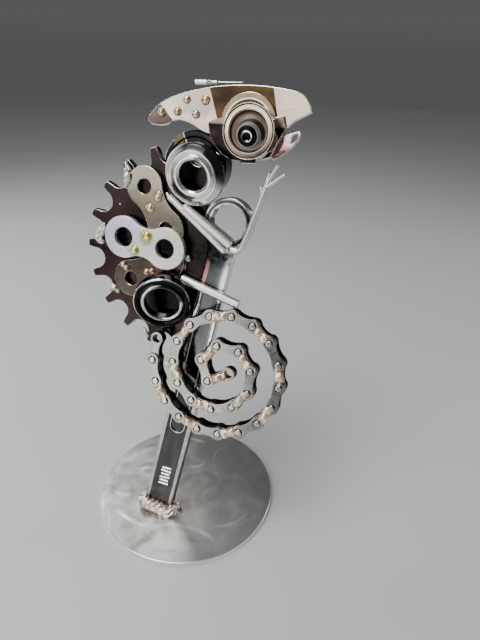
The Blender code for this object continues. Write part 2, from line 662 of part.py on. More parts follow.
def turret_mesh(name):
    """Dish and cone in one piece, with a shallow seat for the pupil ring in its front."""
    seat = TURRET_LENGTH - PUPIL_SEAT
    profile = ((0.0, seat), (PUPIL_RADIUS + GAP, seat), (PUPIL_RADIUS + GAP, TURRET_LENGTH),
               (TURRET_FRONT_RADIUS, TURRET_LENGTH), (TURRET_MID_RADIUS, TURRET_LENGTH * 0.5),
               (TURRET_FOOT_RADIUS, TURRET_FOOT_HEIGHT), (TURRET_FOOT_RADIUS, 0.0), (0.0, 0.0))
    return turned_mesh(name, profile, SMALL_STEPS, closed=False)


def pupil_mesh(name):
    top = PUPIL_LENGTH
    profile = ((0.0, top - PUPIL_BORE_DEPTH), (PUPIL_BORE, top - PUPIL_BORE_DEPTH),
               (PUPIL_BORE * 1.6, top), (PUPIL_RADIUS * 0.8, top), (PUPIL_RADIUS, top * 0.7),
               (PUPIL_RADIUS, 0.0), (0.0, 0.0))
    return turned_mesh(name, profile, SMALL_STEPS, closed=False)


def build_eyes():
    near = make_empty("eye_near_axis", BODY, (*EYE_CENTRE, EYE_LAYER), (0, 0, 0))
    place("eye_ring_near", eye_ring_mesh("eye_ring_near"), POLISHED_STEEL, near)
    lift = TURRET_FOOT_RADIUS * math.sin(TURRET_TIP)
    turret = make_empty("turret_axis", near, (0, 0, lift), (TURRET_TIP, 0, 0))
    place("eye_cone_near", turret_mesh("eye_cone_near"), POLISHED_STEEL, turret)
    place("eye_pupil_near", pupil_mesh("eye_pupil_near"), BLACK_STEEL, turret,
          (0, 0, TURRET_LENGTH - PUPIL_SEAT + GAP))
    rear = HEAD_LAYER - HEAD_THICKNESS / 2 - GAP
    far = make_empty("eye_far_axis", BODY, (*EYE_CENTRE, rear), (0, math.pi, 0))
    plain = turned_mesh("eye_ring_far", ring_profile(EYE_RADIUS, EYE_DISH_RADIUS, EYE_WIDTH,
                                                     EYE_RIM), RING_STEPS)
    place("eye_ring_far", plain, POLISHED_STEEL, far)
    place("eye_cone_far", turret_mesh("eye_cone_far"), POLISHED_STEEL, far)


def build_crest_pin():
    start = Vector((*CREST_PIN_START, HEAD_LAYER))
    end = Vector((*CREST_PIN_END, HEAD_LAYER))
    along = (end - start).normalized()
    profile = [(0.0, 0.0)]
    before = 0.0
    for height, radius in CREST_PIN_STEPS:
        profile += [(radius, before), (radius, height)]
        before = height
    profile.append((0.0, before))
    mesh = turned_mesh("crest_pin", profile, 8, closed=False)
    pin = place("crest_pin", mesh, CHROME, BODY, start)
    pin.rotation_euler = along.to_track_quat("Z", "Y").to_euler()


def build_rod(name, ends, radius, layer):
    start, end = ((*point, layer) for point in ends)
    place(name, rod_mesh(name, [start, end], [radius, radius]), CHROME, BODY)


def forearm_mesh(name, shift):
    """Strip and fingers made one."""
    def bar(points, first, last, label, bevel_resolution):
        spots = [(x + shift, y, 0.0) for x, y in points]
        steps = len(spots) - 1
        radii = [first + (last - first) * i / steps for i in range(steps + 1)]
        return rod_mesh(label, spots, radii, bevel_resolution)

    strip = bar(STRIP_POINTS, STRIP_FOOT_RADIUS, STRIP_WRIST_RADIUS, "strip", 1)
    fingers = [bar(points, FINGER_RADIUS * 1.3, FINGER_RADIUS, f"finger_{number}", 0)
               for number, points in enumerate((LONG_FINGER, SIDE_FINGER, SHORT_FINGER, THUMB))]
    return smooth(joined_mesh(name, strip, fingers, "UNION"))


def build_limbs():
    build_rod("arm_rod_near_lower", NEAR_LOWER_ROD, LOWER_ROD_RADIUS, LOWER_ROD_LAYER)
    build_rod("arm_rod_near_upper", NEAR_UPPER_ROD, UPPER_ROD_RADIUS, UPPER_ROD_LAYER)
    build_rod("arm_rod_far", FAR_ROD, UPPER_ROD_RADIUS, FAR_ARM_LAYER)
    build_rod("leg_rod", LEG_ROD, LEG_ROD_RADIUS, LEG_LAYER)
    place("forearm_near", forearm_mesh("forearm_near", 0.0), CHROME, BODY,
          (0, 0, UPPER_ROD_LAYER))
    place("forearm_far", forearm_mesh("forearm_far", FAR_ARM_SHIFT), CHROME, BODY,
          (0, 0, FAR_ARM_LAYER))


def plate_between(name, low, high):
    outline = link_outline(CHAIN_PITCH, CHAIN_PLATE_RADIUS, CHAIN_PLATE_WAIST, 4, 2)
    plate = flat_mesh(name, [outline], high - low)
    return moved(plate, Matrix.Translation((0, 0, (low + high) / 2)))


def inner_link_mesh():
    """Two inner plates on two rollers, bored for the pins."""
    low = CHAIN_INNER_WIDTH / 2
    high = low + CHAIN_PLATE_THICKNESS
    front = plate_between("inner_front", low, high)
    rear = plate_between("inner_rear", -high, -low)
    middle = (low + high) / 2
    holes = [(0.0, 0.0), (CHAIN_PITCH, 0.0)]
    rollers = [cylinder_mesh("roller", hole, CHAIN_ROLLER_RADIUS, -middle, middle, LINK_STEPS)
               for hole in holes]
    bores = [cylinder_mesh("bore", hole, CHAIN_BORE, -2 * high, 2 * high, LINK_STEPS)
             for hole in holes]
    body = joined_mesh("inner_body", front, [*rollers, rear], "UNION")
    return smooth(joined_mesh("inner_link", body, bores, "DIFFERENCE"), 50.0)


def outer_link_mesh():
    """Two outer plates on two pins."""
    low = CHAIN_INNER_WIDTH / 2 + CHAIN_PLATE_THICKNESS + GAP
    high = low + CHAIN_PLATE_THICKNESS
    front = plate_between("outer_front", low, high)
    rear = plate_between("outer_rear", -high, -low)
    middle = (low + high) / 2
    pins = [cylinder_mesh("pin", (x, 0.0), CHAIN_PIN_RADIUS, -middle, middle, LINK_STEPS)
            for x in (0.0, CHAIN_PITCH)]
    return smooth(joined_mesh("outer_link", front, [*pins, rear], "UNION"), 50.0)


def coil_point(turned):
    """Point of the tail's spiral after a turn, its radius eased between the half turns."""
    share = min(max(turned / math.pi, 0.0), len(COIL_RADII) - 1.001)
    i = int(share)
    t = share - i
    last = len(COIL_RADII) - 1
    before, start = COIL_RADII[max(i - 1, 0)], COIL_RADII[i]
    end, after = COIL_RADII[i + 1], COIL_RADII[min(i + 2, last)]
    radius = 0.5 * (2 * start + (end - before) * t
                    + (2 * before - 5 * start + 4 * end - after) * t * t
                    + (3 * start - before - 3 * end + after) * t ** 3)
    angle = COIL_START + turned
    return Vector((COIL_CENTRE[0] + radius * math.cos(angle),
                   COIL_CENTRE[1] + radius * math.sin(angle)))


def coil_pins():
    """Pin places along the spiral, one chain pitch apart."""
    turned = 0.0
    pins = [coil_point(turned)]
    for _ in range(CHAIN_LINKS):
        low, high = turned, turned + 2.2
        for _ in range(40):
            middle = (low + high) / 2
            if (coil_point(middle) - pins[-1]).length < CHAIN_PITCH:
                low = middle
            else:
                high = middle
        turned = low
        pins.append(coil_point(turned))
    return pins


def build_tail():
    meshes = (inner_link_mesh(), outer_link_mesh())
    pins = coil_pins()
    for number, (start, end) in enumerate(zip(pins, pins[1:])):
        step = end - start
        place(f"tail_link_{number + 1:02d}", meshes[number % 2], CHAIN_STEEL, TAIL,
              (*start, 0), (0, 0, math.atan2(step.y, step.x)))


build_base()
build_spanner()
build_foot_weld()
build_crest()
build_back_plates()
build_bearings()
build_head()
build_jaw()
build_eyes()
build_crest_pin()
build_limbs()
build_tail()
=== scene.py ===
# %% [markdown]
# # A scrap metal chameleon, dressed for its picture
# A welder made this small figure from found parts: a ring spanner, a sprocket, chain plates,
# ball bearings and a length of roller chain. The CAD model gives every part its size and place.
# This lesson rebuilds each part with fine edges, and gives each metal its own finish.
# We first load the CAD frame. Nothing here may grow past it.

# %% Load the frame
import math

import bmesh
import bpy
from mathutils import Matrix, Vector, noise


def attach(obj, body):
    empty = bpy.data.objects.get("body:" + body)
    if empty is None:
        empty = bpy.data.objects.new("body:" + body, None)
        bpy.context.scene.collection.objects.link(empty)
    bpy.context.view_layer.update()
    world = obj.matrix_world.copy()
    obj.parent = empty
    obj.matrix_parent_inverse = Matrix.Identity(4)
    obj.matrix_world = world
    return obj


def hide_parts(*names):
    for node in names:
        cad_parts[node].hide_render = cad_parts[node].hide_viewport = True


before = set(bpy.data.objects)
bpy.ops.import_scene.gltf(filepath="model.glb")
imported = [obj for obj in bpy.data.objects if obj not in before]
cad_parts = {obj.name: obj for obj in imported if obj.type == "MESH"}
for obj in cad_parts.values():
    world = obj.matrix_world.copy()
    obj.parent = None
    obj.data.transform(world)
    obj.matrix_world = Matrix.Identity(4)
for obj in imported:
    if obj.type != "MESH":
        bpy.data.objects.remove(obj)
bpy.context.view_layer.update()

# %% [markdown]
# The figure leans back, so building it in world coordinates would be hard. It is easier to work
# in a flat drawing plane and turn the result at the end. Here X runs right, Y up along the
# figure and Z to the front, all in millimetres. A matrix carries such a drawing to its place.


# %% Drawing planes
def shift(x, y, z=0.0):
    return Matrix.Translation((x, y, z))


def spin(degrees, axis):
    return Matrix.Rotation(math.radians(degrees), 4, axis)


def tilt(tip, turn=0.0):
    return spin(turn, "Y") @ spin(tip, "X")


MM = Matrix.Scale(0.001, 4)
RISE, SPANNER_LEAN, TAIL_LEAN = 79, -10.85, -6
figure = shift(-0.0107, -0.0229, 0.003) @ spin(RISE, "X")
spanner_axis = figure @ shift(-0.0015, 0) @ spin(SPANNER_LEAN, "Z")
figure_mm = figure @ MM
spanner_mm = spanner_axis @ MM
tail_mm = figure_mm @ shift(0, 148.7, 7.45) @ spin(TAIL_LEAN, "X")
print("figure's foot in mm:", [round(1000 * c, 1) for c in figure.translation])


# %% [markdown]
# Most parts are one of four kinds: flat plates, turned rings, round bars and weld beads. Each
# kind gets one helper, and all of them end in a plain mesh. So three small functions come
# first. One puts an object into the scene, one applies its modifiers and throws the object
# away, and one also merges the seams of the mesh that is left.

# %% Helper: settle an object into a mesh
def new_item(name, data):
    item = bpy.data.objects.new(name, data)
    bpy.context.scene.collection.objects.link(item)
    return item


def evaluated(item, *tools):
    """The item's mesh with its modifiers applied; the item and its tools are removed."""
    bpy.context.view_layer.update()
    graph = bpy.context.evaluated_depsgraph_get()
    mesh = bpy.data.meshes.new_from_object(item.evaluated_get(graph))
    for used in (item, *tools):
        bpy.data.objects.remove(used, do_unlink=True)
    return mesh


def settled(item, *tools):
    """The same, with its seams merged and its faces turned outwards."""
    mesh = evaluated(item, *tools)
    shape = bmesh.new()
    shape.from_mesh(mesh)
    bmesh.ops.remove_doubles(shape, verts=shape.verts, dist=0.002)
    bmesh.ops.recalc_face_normals(shape, faces=shape.faces)
    shape.to_mesh(mesh)
    shape.free()
    return mesh


# %% Helper: end a bmesh as a mesh
def mesh_from(shape, name, outwards=True):
    if outwards:
        bmesh.ops.recalc_face_normals(shape, faces=shape.faces)
    mesh = bpy.data.meshes.new(name)
    shape.to_mesh(mesh)
    shape.free()
    return mesh


def skin(shape, rows, spans=None):
    """Faces between each row of vertices and the next, and from the last row to the first."""
    for row, following in zip(rows, rows[1:] + rows[:1]):
        for j in range(spans or len(row)):
            k = (j + 1) % len(row)
            shape.faces.new((row[j], following[j], following[k], row[k]))


# %% Helper: a flat plate with rounded edges
def plate(outlines, thickness, edge=0.3, steps=2):
    """A plate about Z = 0, from its outline and the outlines of its holes."""
    curve = bpy.data.curves.new("plate", "CURVE")
    curve.dimensions = "2D"
    curve.fill_mode = "BOTH"
    curve.extrude = thickness / 2 - edge
    curve.bevel_depth = edge
    curve.bevel_resolution = steps
    curve.offset = -edge
    for outline in outlines:
        spline = curve.splines.new("POLY")
        spline.points.add(len(outline) - 1)
        for point, (x, y) in zip(spline.points, outline):
            point.co = (x, y, 0, 1)
        spline.use_cyclic_u = True
    return settled(new_item("plate", curve))


# %% Helper: a turned ring or knob
def softened(profile, rounding, closed):
    """The profile with each corner cut into a small arc."""
    soft = []
    last = len(profile) - 1
    for i, corner in enumerate(profile):
        if not closed and i in (0, last):
            soft.append(corner)
            continue
        here = Vector(corner)
        before, after = Vector(profile[i - 1]), Vector(profile[(i + 1) % len(profile)])
        reach = min(rounding, (before - here).length * 0.4, (after - here).length * 0.4)
        start = here + (before - here).normalized() * reach
        end = here + (after - here).normalized() * reach
        for t in (0.0, 0.25, 0.5, 0.75, 1.0):
            soft.append(tuple((1 - t) ** 2 * start + 2 * t * (1 - t) * here + t * t * end))
    return soft


def turned(profile, rounding=0.3, steps=96, closed=True):
    """Turns (radius, height) points about Z; an open profile ends on the axis."""
    points = softened(profile, rounding, closed)
    shape = bmesh.new()
    rows = []
    for i in range(steps):
        a = math.tau * i / steps
        rows.append([shape.verts.new((r * math.cos(a), r * math.sin(a), z)) for r, z in points])
    skin(shape, rows, len(points) if closed else len(points) - 1)
    bmesh.ops.remove_doubles(shape, verts=shape.verts, dist=0.0005)
    return mesh_from(shape, "turned")


# %% Helper: a round bar along points
def eased(before, start, end, after, t):
    """A smooth step from start to end, for numbers or for vectors."""
    return 0.5 * (2 * start + (end - before) * t
                  + (2 * before - 5 * start + 4 * end - after) * t * t
                  + (3 * start - before - 3 * end + after) * t ** 3)


def soft_line(points, pieces=6):
    """A smooth line through points of any dimension."""
    spots = [Vector(point) for point in points]
    around = [spots[0], *spots, spots[-1]]
    line = [tuple(eased(*around[i:i + 4], k / pieces))
            for i in range(len(spots) - 1) for k in range(pieces)]
    return line + [tuple(points[-1])]


def bar(points, radii, end=0.3, resolution=6):
    """A bar with a radius at each point and small chamfers at both ends."""
    points = [Vector(point) for point in points]
    first = (points[1] - points[0]).normalized()
    final = (points[-2] - points[-1]).normalized()
    spots = ([points[0], points[0] + first * end] + points[1:-1]
             + [points[-1] + final * end, points[-1]])
    sizes = [radii[0] - end, radii[0]] + list(radii[1:-1]) + [radii[-1], radii[-1] - end]
    curve = bpy.data.curves.new("bar", "CURVE")
    curve.dimensions = "3D"
    curve.bevel_depth = 1.0
    curve.bevel_resolution = resolution
    curve.use_fill_caps = True
    spline = curve.splines.new("POLY")
    spline.points.add(len(spots) - 1)
    for point, spot, size in zip(spline.points, spots, sizes):
        point.co = (*spot, 1)
        point.radius = size
    return settled(new_item("bar", curve))


# %% Helper: join, cut and move meshes
def combined(mesh, tools, operation):
    holder = new_item("holder", mesh)
    helpers = [new_item("tool", tool) for tool in tools]
    for helper in helpers:
        modifier = holder.modifiers.new("shape", "BOOLEAN")
        modifier.operation = operation
        modifier.solver = "EXACT"
        modifier.object = helper
    return settled(holder, *helpers)


def together(*meshes):
    """Several meshes as one, with no cutting."""
    shape = bmesh.new()
    for mesh in meshes:
        shape.from_mesh(mesh)
    return mesh_from(shape, "together", outwards=False)


def at(mesh, *matrices):
    for matrix in matrices:
        mesh.transform(matrix)
    return mesh


# %% [markdown]
# Every finished piece rides on the figure's one body. It stands for the CAD nodes it names,
# which are then hidden. Weighted normals keep the flat faces flat beside their round edges.

# %% Helper: put a finished piece in the scene
def piece(name, mesh, place, material, slot, *nodes, angle=40.0):
    mesh.transform(place)
    mesh.shade_smooth()
    mesh.set_sharp_from_angle(angle=math.radians(angle))
    holder = new_item(name, mesh)
    weights = holder.modifiers.new("flat_faces", "WEIGHTED_NORMAL")
    weights.keep_sharp = True
    final = evaluated(holder)
    final.materials.clear()
    final.materials.append(material)
    item = new_item(name, final)
    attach(item, "root")
    if nodes:
        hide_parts(*nodes)
    triangles = sum(len(face.vertices) - 2 for face in final.polygons)
    print(f"{name}: {triangles} triangles")


# %% [markdown]
# A metal finish is more than one grey. It has slow clouds of tone, fine scratches that run one
# way, and bright edges that are partly polished by handling and partly painted highlight. A
# small class builds those layers from nodes. The pattern is read in the part's own drawing
# plane, so scratches run along the part however it stands. The class comes in three steps:
# plain nodes, masks made from them, and layers.

# %% Helper: plain nodes
def set_stops(ramp, stops):
    while len(ramp.elements) < len(stops):
        ramp.elements.new(0.5)
    for element, (position, colour) in zip(ramp.elements, stops):
        element.position = position
        element.color = (*colour, 1) if isinstance(colour, tuple) else (colour,) * 3 + (1,)


class Nodes:
    """A material that reads its patterns in millimetres of a drawing plane."""

    def __init__(self, name, place):
        self.material = bpy.data.materials.new(name)
        self.material.use_nodes = True
        self.tree = self.material.node_tree
        self.shader = self.tree.nodes["Principled BSDF"]
        self.coords = self.add("ShaderNodeTexCoord")
        location, turn, _ = place.decompose()
        plane = self.add("ShaderNodeMapping")
        plane.vector_type = "TEXTURE"
        plane.inputs["Location"].default_value = location
        plane.inputs["Rotation"].default_value = turn.to_euler()
        plane.inputs["Scale"].default_value = (0.001, 0.001, 0.001)
        self.link(self.coords.outputs["Object"], plane.inputs["Vector"])
        self.mm = plane.outputs["Vector"]
        split = self.add("ShaderNodeSeparateXYZ")
        self.link(self.mm, split.inputs[0])
        self.x, self.y, self.z = split.outputs
        self.front = (place.to_3x3() @ Vector((0, 0, 1))).normalized()

    def add(self, kind):
        return self.tree.nodes.new(kind)

    def link(self, start, end):
        self.tree.links.new(start, end)

    def math(self, operation, *values):
        step = self.add("ShaderNodeMath")
        step.operation = operation
        for socket, value in zip(step.inputs, values):
            if isinstance(value, (int, float)):
                socket.default_value = value
            else:
                self.link(value, socket)
        return step.outputs[0]

    def noise(self, scale, detail=4.0, stretch=(1, 1, 1), distortion=0.0, shift=(0, 0, 0)):
        """Noise with its scale in waves per millimetre."""
        move = self.add("ShaderNodeMapping")
        move.inputs["Scale"].default_value = stretch
        move.inputs["Location"].default_value = shift
        self.link(self.mm, move.inputs["Vector"])
        texture = self.add("ShaderNodeTexNoise")
        texture.inputs["Scale"].default_value = scale
        texture.inputs["Detail"].default_value = detail
        texture.inputs["Distortion"].default_value = distortion
        self.link(move.outputs["Vector"], texture.inputs["Vector"])
        return texture.outputs[0]

    def ramp(self, value, stops):
        table = self.add("ShaderNodeValToRGB")
        set_stops(table.color_ramp, stops)
        self.link(value, table.inputs[0])
        return table.outputs["Color"]

    def range(self, value, low, high, to_low=0.0, to_high=1.0):
        step = self.add("ShaderNodeMapRange")
        step.interpolation_type = "SMOOTHSTEP"
        self.link(value, step.inputs["Value"])
        for socket, number in zip(("From Min", "From Max", "To Min", "To Max"),
                                  (low, high, to_low, to_high)):
            step.inputs[socket].default_value = number
        return step.outputs["Result"]


# %% Helper: masks
class Masks(Nodes):
    """Masks that say where a colour goes, drawn in the plane of the part."""

    def side(self, a, b, c, soft=0.3):
        """1 where a*x + b*y > c."""
        reach = math.hypot(a, b)
        left = self.math("MULTIPLY", self.x, a / reach)
        total = self.math("MULTIPLY_ADD", self.y, b / reach, left)
        return self.range(total, c / reach - soft, c / reach + soft)

    def past(self, point, way, soft, distance=0.0):
        """1 past a line across a way, that far from a point."""
        return self.side(*way, way[0] * point[0] + way[1] * point[1] + distance, soft)

    def gap(self, x, y):
        """Distance from a point."""
        gap_x, gap_y = self.math("SUBTRACT", self.x, x), self.math("SUBTRACT", self.y, y)
        square = self.math("ADD", self.math("MULTIPLY", gap_x, gap_x),
                           self.math("MULTIPLY", gap_y, gap_y))
        return self.math("SQRT", square)

    def disc(self, x, y, radius, soft=0.3):
        """1 inside a circle."""
        return self.range(self.gap(x, y), radius + soft, radius - soft)

    def ring(self, x, y, outer, inner, soft, inner_soft=None):
        """1 between two circles about one point."""
        hole = self.disc(x, y, inner, inner_soft or soft)
        return self.both(self.disc(x, y, outer, soft), self.less(hole))

    def turned_away(self, full, none):
        """1 where a surface's turn from the drawing plane is past full, 0 before none."""
        facing = self.add("ShaderNodeVectorMath")
        facing.operation = "DOT_PRODUCT"
        self.link(self.coords.outputs["Normal"], facing.inputs[0])
        facing.inputs[1].default_value = self.front
        return self.range(self.math("ABSOLUTE", facing.outputs["Value"]), none, full)

    def both(self, *masks):
        total = masks[0]
        for mask in masks[1:]:
            total = self.math("MULTIPLY", total, mask)
        return total

    def less(self, mask):
        return self.math("SUBTRACT", 1.0, mask)


# %% Helper: layers of a finish
class Finish(Masks):
    """A metal, built up by one method for each layer."""

    def __init__(self, name, place, metallic=1.0):
        super().__init__(name, place)
        self.shader.inputs["Metallic"].default_value = metallic
        self.colour = None
        self.height = None

    def tones(self, scale, stops, detail=4.0, distortion=0.0):
        """Slow clouds of base colour."""
        self.colour = self.ramp(self.noise(scale, detail, distortion=distortion), stops)

    def paint(self, mask, colour, amount=1.0):
        """Lays a colour, or an amount of it, over the tones where a mask says so."""
        if amount < 1.0:
            mask = self.math("MULTIPLY", mask, amount)
        mix = self.add("ShaderNodeMix")
        mix.data_type = "RGBA"
        self.link(mask, mix.inputs["Factor"])
        self.link(self.colour, mix.inputs[6])
        if isinstance(colour, tuple):
            mix.inputs[7].default_value = (*colour, 1)
        else:
            self.link(colour, mix.inputs[7])
        self.colour = mix.outputs[2]

    def rough(self, low, high, scale=0.4):
        """Roughness that wanders between two values."""
        wander = self.noise(scale, 5.0, shift=(31, 7, 3))
        self.link(self.range(wander, 0.3, 0.7, low, high), self.shader.inputs["Roughness"])

    def relief(self, value, distance, strength=1.0):
        """Adds a bump layer; distance is in millimetres."""
        bump = self.add("ShaderNodeBump")
        bump.inputs["Strength"].default_value = strength
        bump.inputs["Distance"].default_value = distance * 0.001
        self.link(value, bump.inputs["Height"])
        if self.height:
            self.link(self.height, bump.inputs["Normal"])
        self.height = bump.outputs["Normal"]

    def wear_and_sheen(self, colour, sides=False):
        """Bright edges, partly wear and partly painted highlight, with or without the sides they
        lead to.
        """
        # Painted highlight and wear: the bevels, and the sides when asked, get the light colour.
        mask = self.turned_away(0.92, 0.985)
        if not sides:
            mask = self.both(mask, self.less(self.turned_away(0.12, 0.40)))
        self.paint(mask, colour)

    def done(self):
        self.link(self.colour, self.shader.inputs["Base Color"])
        if self.height:
            self.link(self.height, self.shader.inputs["Normal"])
        print(f"{self.material.name}: {len(self.tree.nodes)} nodes")
        return self.material


# %% Helper: the common finish
def flat_metal(name, place, dark, light, rough, scratch=0.002, along=(1, 1, 1), clouds=0.12,
               metallic=1.0, wear_and_sheen=None):
    """Two tones in clouds, scratches one way, and edges bright from wear and painted highlight.
    """
    steel = Finish(name, place, metallic)
    steel.tones(clouds, [(0.3, dark), (0.7, light)], distortion=0.6)
    steel.rough(*rough)
    steel.relief(steel.noise(3.0, 3.0, along, shift=(5, 17, 2)), scratch)
    if wear_and_sheen:
        steel.wear_and_sheen(wear_and_sheen)
    return steel


# %% [markdown]
# ## Base disc
# The disc is cut from plate and ground by hand with a flap disc. The grinder leaves short arcs
# that cross each other, with cloudy bright and dark patches between them. The edge is broken
# all round, and its one thin bright line is wear and painted highlight; a painted sheen also
# lightens the front. A lathe profile makes the shape. Each arc is a thin painted ring that sways
# a little and shows only near its middle. The roughness is one value, because a wandering one
# made dark specks on so large a mirror.

# %% Clouds of the ground steel
ground = Finish("ground_steel", Matrix.Identity(4))
ground.shader.inputs["Roughness"].default_value = 0.31
ground.tones(0.040, [(0.32, (0.22, 0.225, 0.210)), (0.47, (0.34, 0.346, 0.326)),
                     (0.60, (0.47, 0.476, 0.452)), (0.74, (0.68, 0.686, 0.655))],
             distortion=1.3)
ground.paint(ground.side(1, 0.3, 14, 24.0), (0.62, 0.626, 0.60), 0.50)
print("nodes of the clouds:", len(ground.tree.nodes))

# %% Arcs of the grinder
ARC_SWAY = 4.0


def grinder_arc(seed, centre, radius, width, strength, middle, reach):
    """A bright arc about a centre, fading out at its reach from the middle."""
    swayed = ground.math("MULTIPLY_ADD", ground.noise(0.05, 3.0, shift=(seed * 13, 5, 2)),
                         ARC_SWAY, ground.gap(*centre))
    away = ground.math("ABSOLUTE", ground.math("SUBTRACT", swayed, radius + ARC_SWAY / 2))
    broken = ground.range(ground.noise(0.08, 2.0, shift=(seed * 40, 9, 0)), 0.28, 0.50)
    line = ground.both(ground.range(away, width, 0.0),
                       ground.disc(*middle, reach, reach * 0.45), broken)
    ground.paint(line, (0.92, 0.92, 0.90), strength)


ARCS = (((-18.5, -5.5), 33.5, 2.2, 0.95, (-21.0, -37.0), 15.0),
        ((15.0, -71.0), 40.0, 2.2, 1.0, (13.0, -33.0), 18.0),
        ((-12.5, -7.5), 43.5, 3.0, 0.55, (-46.0, 20.0), 9.0),
        ((-30.5, 2.0), 8.0, 2.6, 0.50, (-36.5, 5.5), 4.0),
        ((-19.0, -45.5), 91.5, 2.4, 0.70, (-11.0, 46.0), 6.0),
        ((-4.5, 25.5), 7.5, 1.8, 0.65, (-1.0, 21.5), 6.0),
        ((-41.5, -8.5), 13.0, 3.0, 0.50, (-40.5, -21.5), 5.0),
        ((26.0, -4.0), 21.5, 1.8, 0.45, (39.0, -18.5), 11.0),
        ((22.0, 8.0), 34.0, 3.0, 0.30, (48.0, -14.0), 16.0),
        ((34.0, 36.0), 26.0, 1.6, 0.35, (9.5, 27.0), 14.0),
        ((-46.0, 34.0), 30.0, 2.4, 0.35, (-31.0, 8.0), 12.0))
for seed, sizes in enumerate(ARCS):
    grinder_arc(seed, *sizes)
print("grinder arcs:", len(ARCS))

# %% Painted sheen at the front, soot and heat on the disc
# Painted sheen: cloudy light patches on the front of the disc.
painted_sheen = ground.range(ground.noise(0.045, distortion=1.5, shift=(3, 1, 8)), 0.35, 0.62)
ground.paint(ground.both(ground.disc(6, -44, 26, 18.0), painted_sheen), (0.74, 0.744, 0.73), 0.6)
soot = ground.both(ground.disc(4.0, -15.5, 5.0, 3.0), ground.noise(0.2, 2.0, shift=(2, 2, 2)))
ground.paint(soot, (0.07, 0.068, 0.064))
scorch = ground.both(ground.disc(-6, -24, 24, 9.0), ground.noise(0.09, 3.0))
ground.paint(scorch, (0.50, 0.45, 0.37), 0.55)
# Wear and painted highlight on the broken edge.
ground.wear_and_sheen((0.97, 0.97, 0.96), sides=True)
ground_steel = ground.done()

# %% Turn the disc
DISC_RADIUS, DISC_TOP = 60, 3
disc = turned([(0, DISC_TOP), (DISC_RADIUS, DISC_TOP), (DISC_RADIUS, 0), (0, 0)],
              rounding=0.8, steps=160, closed=False)
piece("base_disc_ground", disc, MM, ground_steel, "ground_steel", "base_disc")


# %% [markdown]
# ## Spanner
# A drop-forged spanner has a raised rim round a sunk panel, and its ring is thicker than its
# shank. The shank is a flat plate with a large edge radius, joined to a turned ring. Then the
# ring's toothed bore, the panels and the deeper slot are cut out with EXACT booleans.

# %% Outline of the spanner
def polar(centre, radius, angle):
    return (centre[0] + radius * math.cos(angle), centre[1] + radius * math.sin(angle))


def arc(centre, radius, start, end, steps):
    return [polar(centre, radius, start + (end - start) * i / steps) for i in range(steps + 1)]


def circle(centre, radius, steps):
    return arc(centre, radius, 0, math.tau * (steps - 1) / steps, steps - 1)


def mirrored(points):
    return [(-x, y) for x, y in reversed(points)]


RING = (0, 200.2)
NECK_FILLET = 30


def shank_side(offset=0.0):
    """Left side of the shank, from the foot up to the ring."""
    ring, neck = 13.3 + offset, 7.5 + offset
    run = math.sqrt((ring + NECK_FILLET) ** 2 - (neck + NECK_FILLET) ** 2)
    touch = math.atan2(run, neck + NECK_FILLET)
    return ([(-9.7 - offset, 2.75), (-9.2 - offset, 80), (-neck, 156)]
            + arc((-neck - NECK_FILLET, RING[1] - run), NECK_FILLET, 0.0, touch, 14))


print("neck meets the ring in mm:", [round(c, 1) for c in shank_side()[-1]])

# %% Forge the shank and its ring
SHANK_THICK, RING_THICK, RING_RADIUS = 6.0, 7.6, 13.6
side = shank_side()
shank = plate([side + [RING] + mirrored(side)], SHANK_THICK, edge=1.0, steps=3)
ring_front = RING_THICK / 2
ring = turned([(0, ring_front), (RING_RADIUS, ring_front), (RING_RADIUS, -ring_front),
               (0, -ring_front)], rounding=0.9, closed=False)
ring = at(ring, shift(*RING))
spanner = combined(shank, [ring], "UNION")
print(f"shank and ring: {len(spanner.polygons)} faces")

# %% Cut the bore, the panels and the slot
BORE_POINTS, BORE_OUTER, BORE_INNER = 24, 10.4, 9.7
PANEL_DEPTH, SLOT_DEPTH = 0.6, 1.3
SLOT_FOOT, SLOT_TOP, SLOT_HALF_WIDTH = (0, 69), (0, 156), 4.6
teeth = [polar(RING, BORE_INNER if i % 2 else BORE_OUTER, math.tau * i / BORE_POINTS)
         for i in range(BORE_POINTS)]
panel_side = [(-7.1, 0.35), (-6.8, 80), (-5.1, 158)] + arc((0, 159), 5.1, math.pi, 1.6, 8)
panel_line = panel_side + mirrored(panel_side)
slot_line = (arc(SLOT_FOOT, SLOT_HALF_WIDTH, math.pi, math.tau, 16)
             + arc(SLOT_TOP, SLOT_HALF_WIDTH, 0, math.pi, 16))
cuts = [plate([teeth], 12, edge=0.05, steps=1)]
for face, depth, outline in ((1, PANEL_DEPTH, panel_line), (-1, PANEL_DEPTH, panel_line),
                             (1, SLOT_DEPTH, slot_line)):
    cuts.append(at(plate([outline], SHANK_THICK, edge=0.25, steps=1),
                   shift(0, 0, face * (SHANK_THICK - depth))))
spanner = combined(spanner, cuts, "DIFFERENCE")
print(f"spanner with {len(cuts)} cuts: {len(spanner.polygons)} faces")

# %% [markdown]
# Between the foot and the chain sits a line of raised marks. They are plain slanted strokes
# here, one shape placed again and again, so Geometry Nodes puts them on a row of points. Each
# point carries the size and the turn of its own copy.


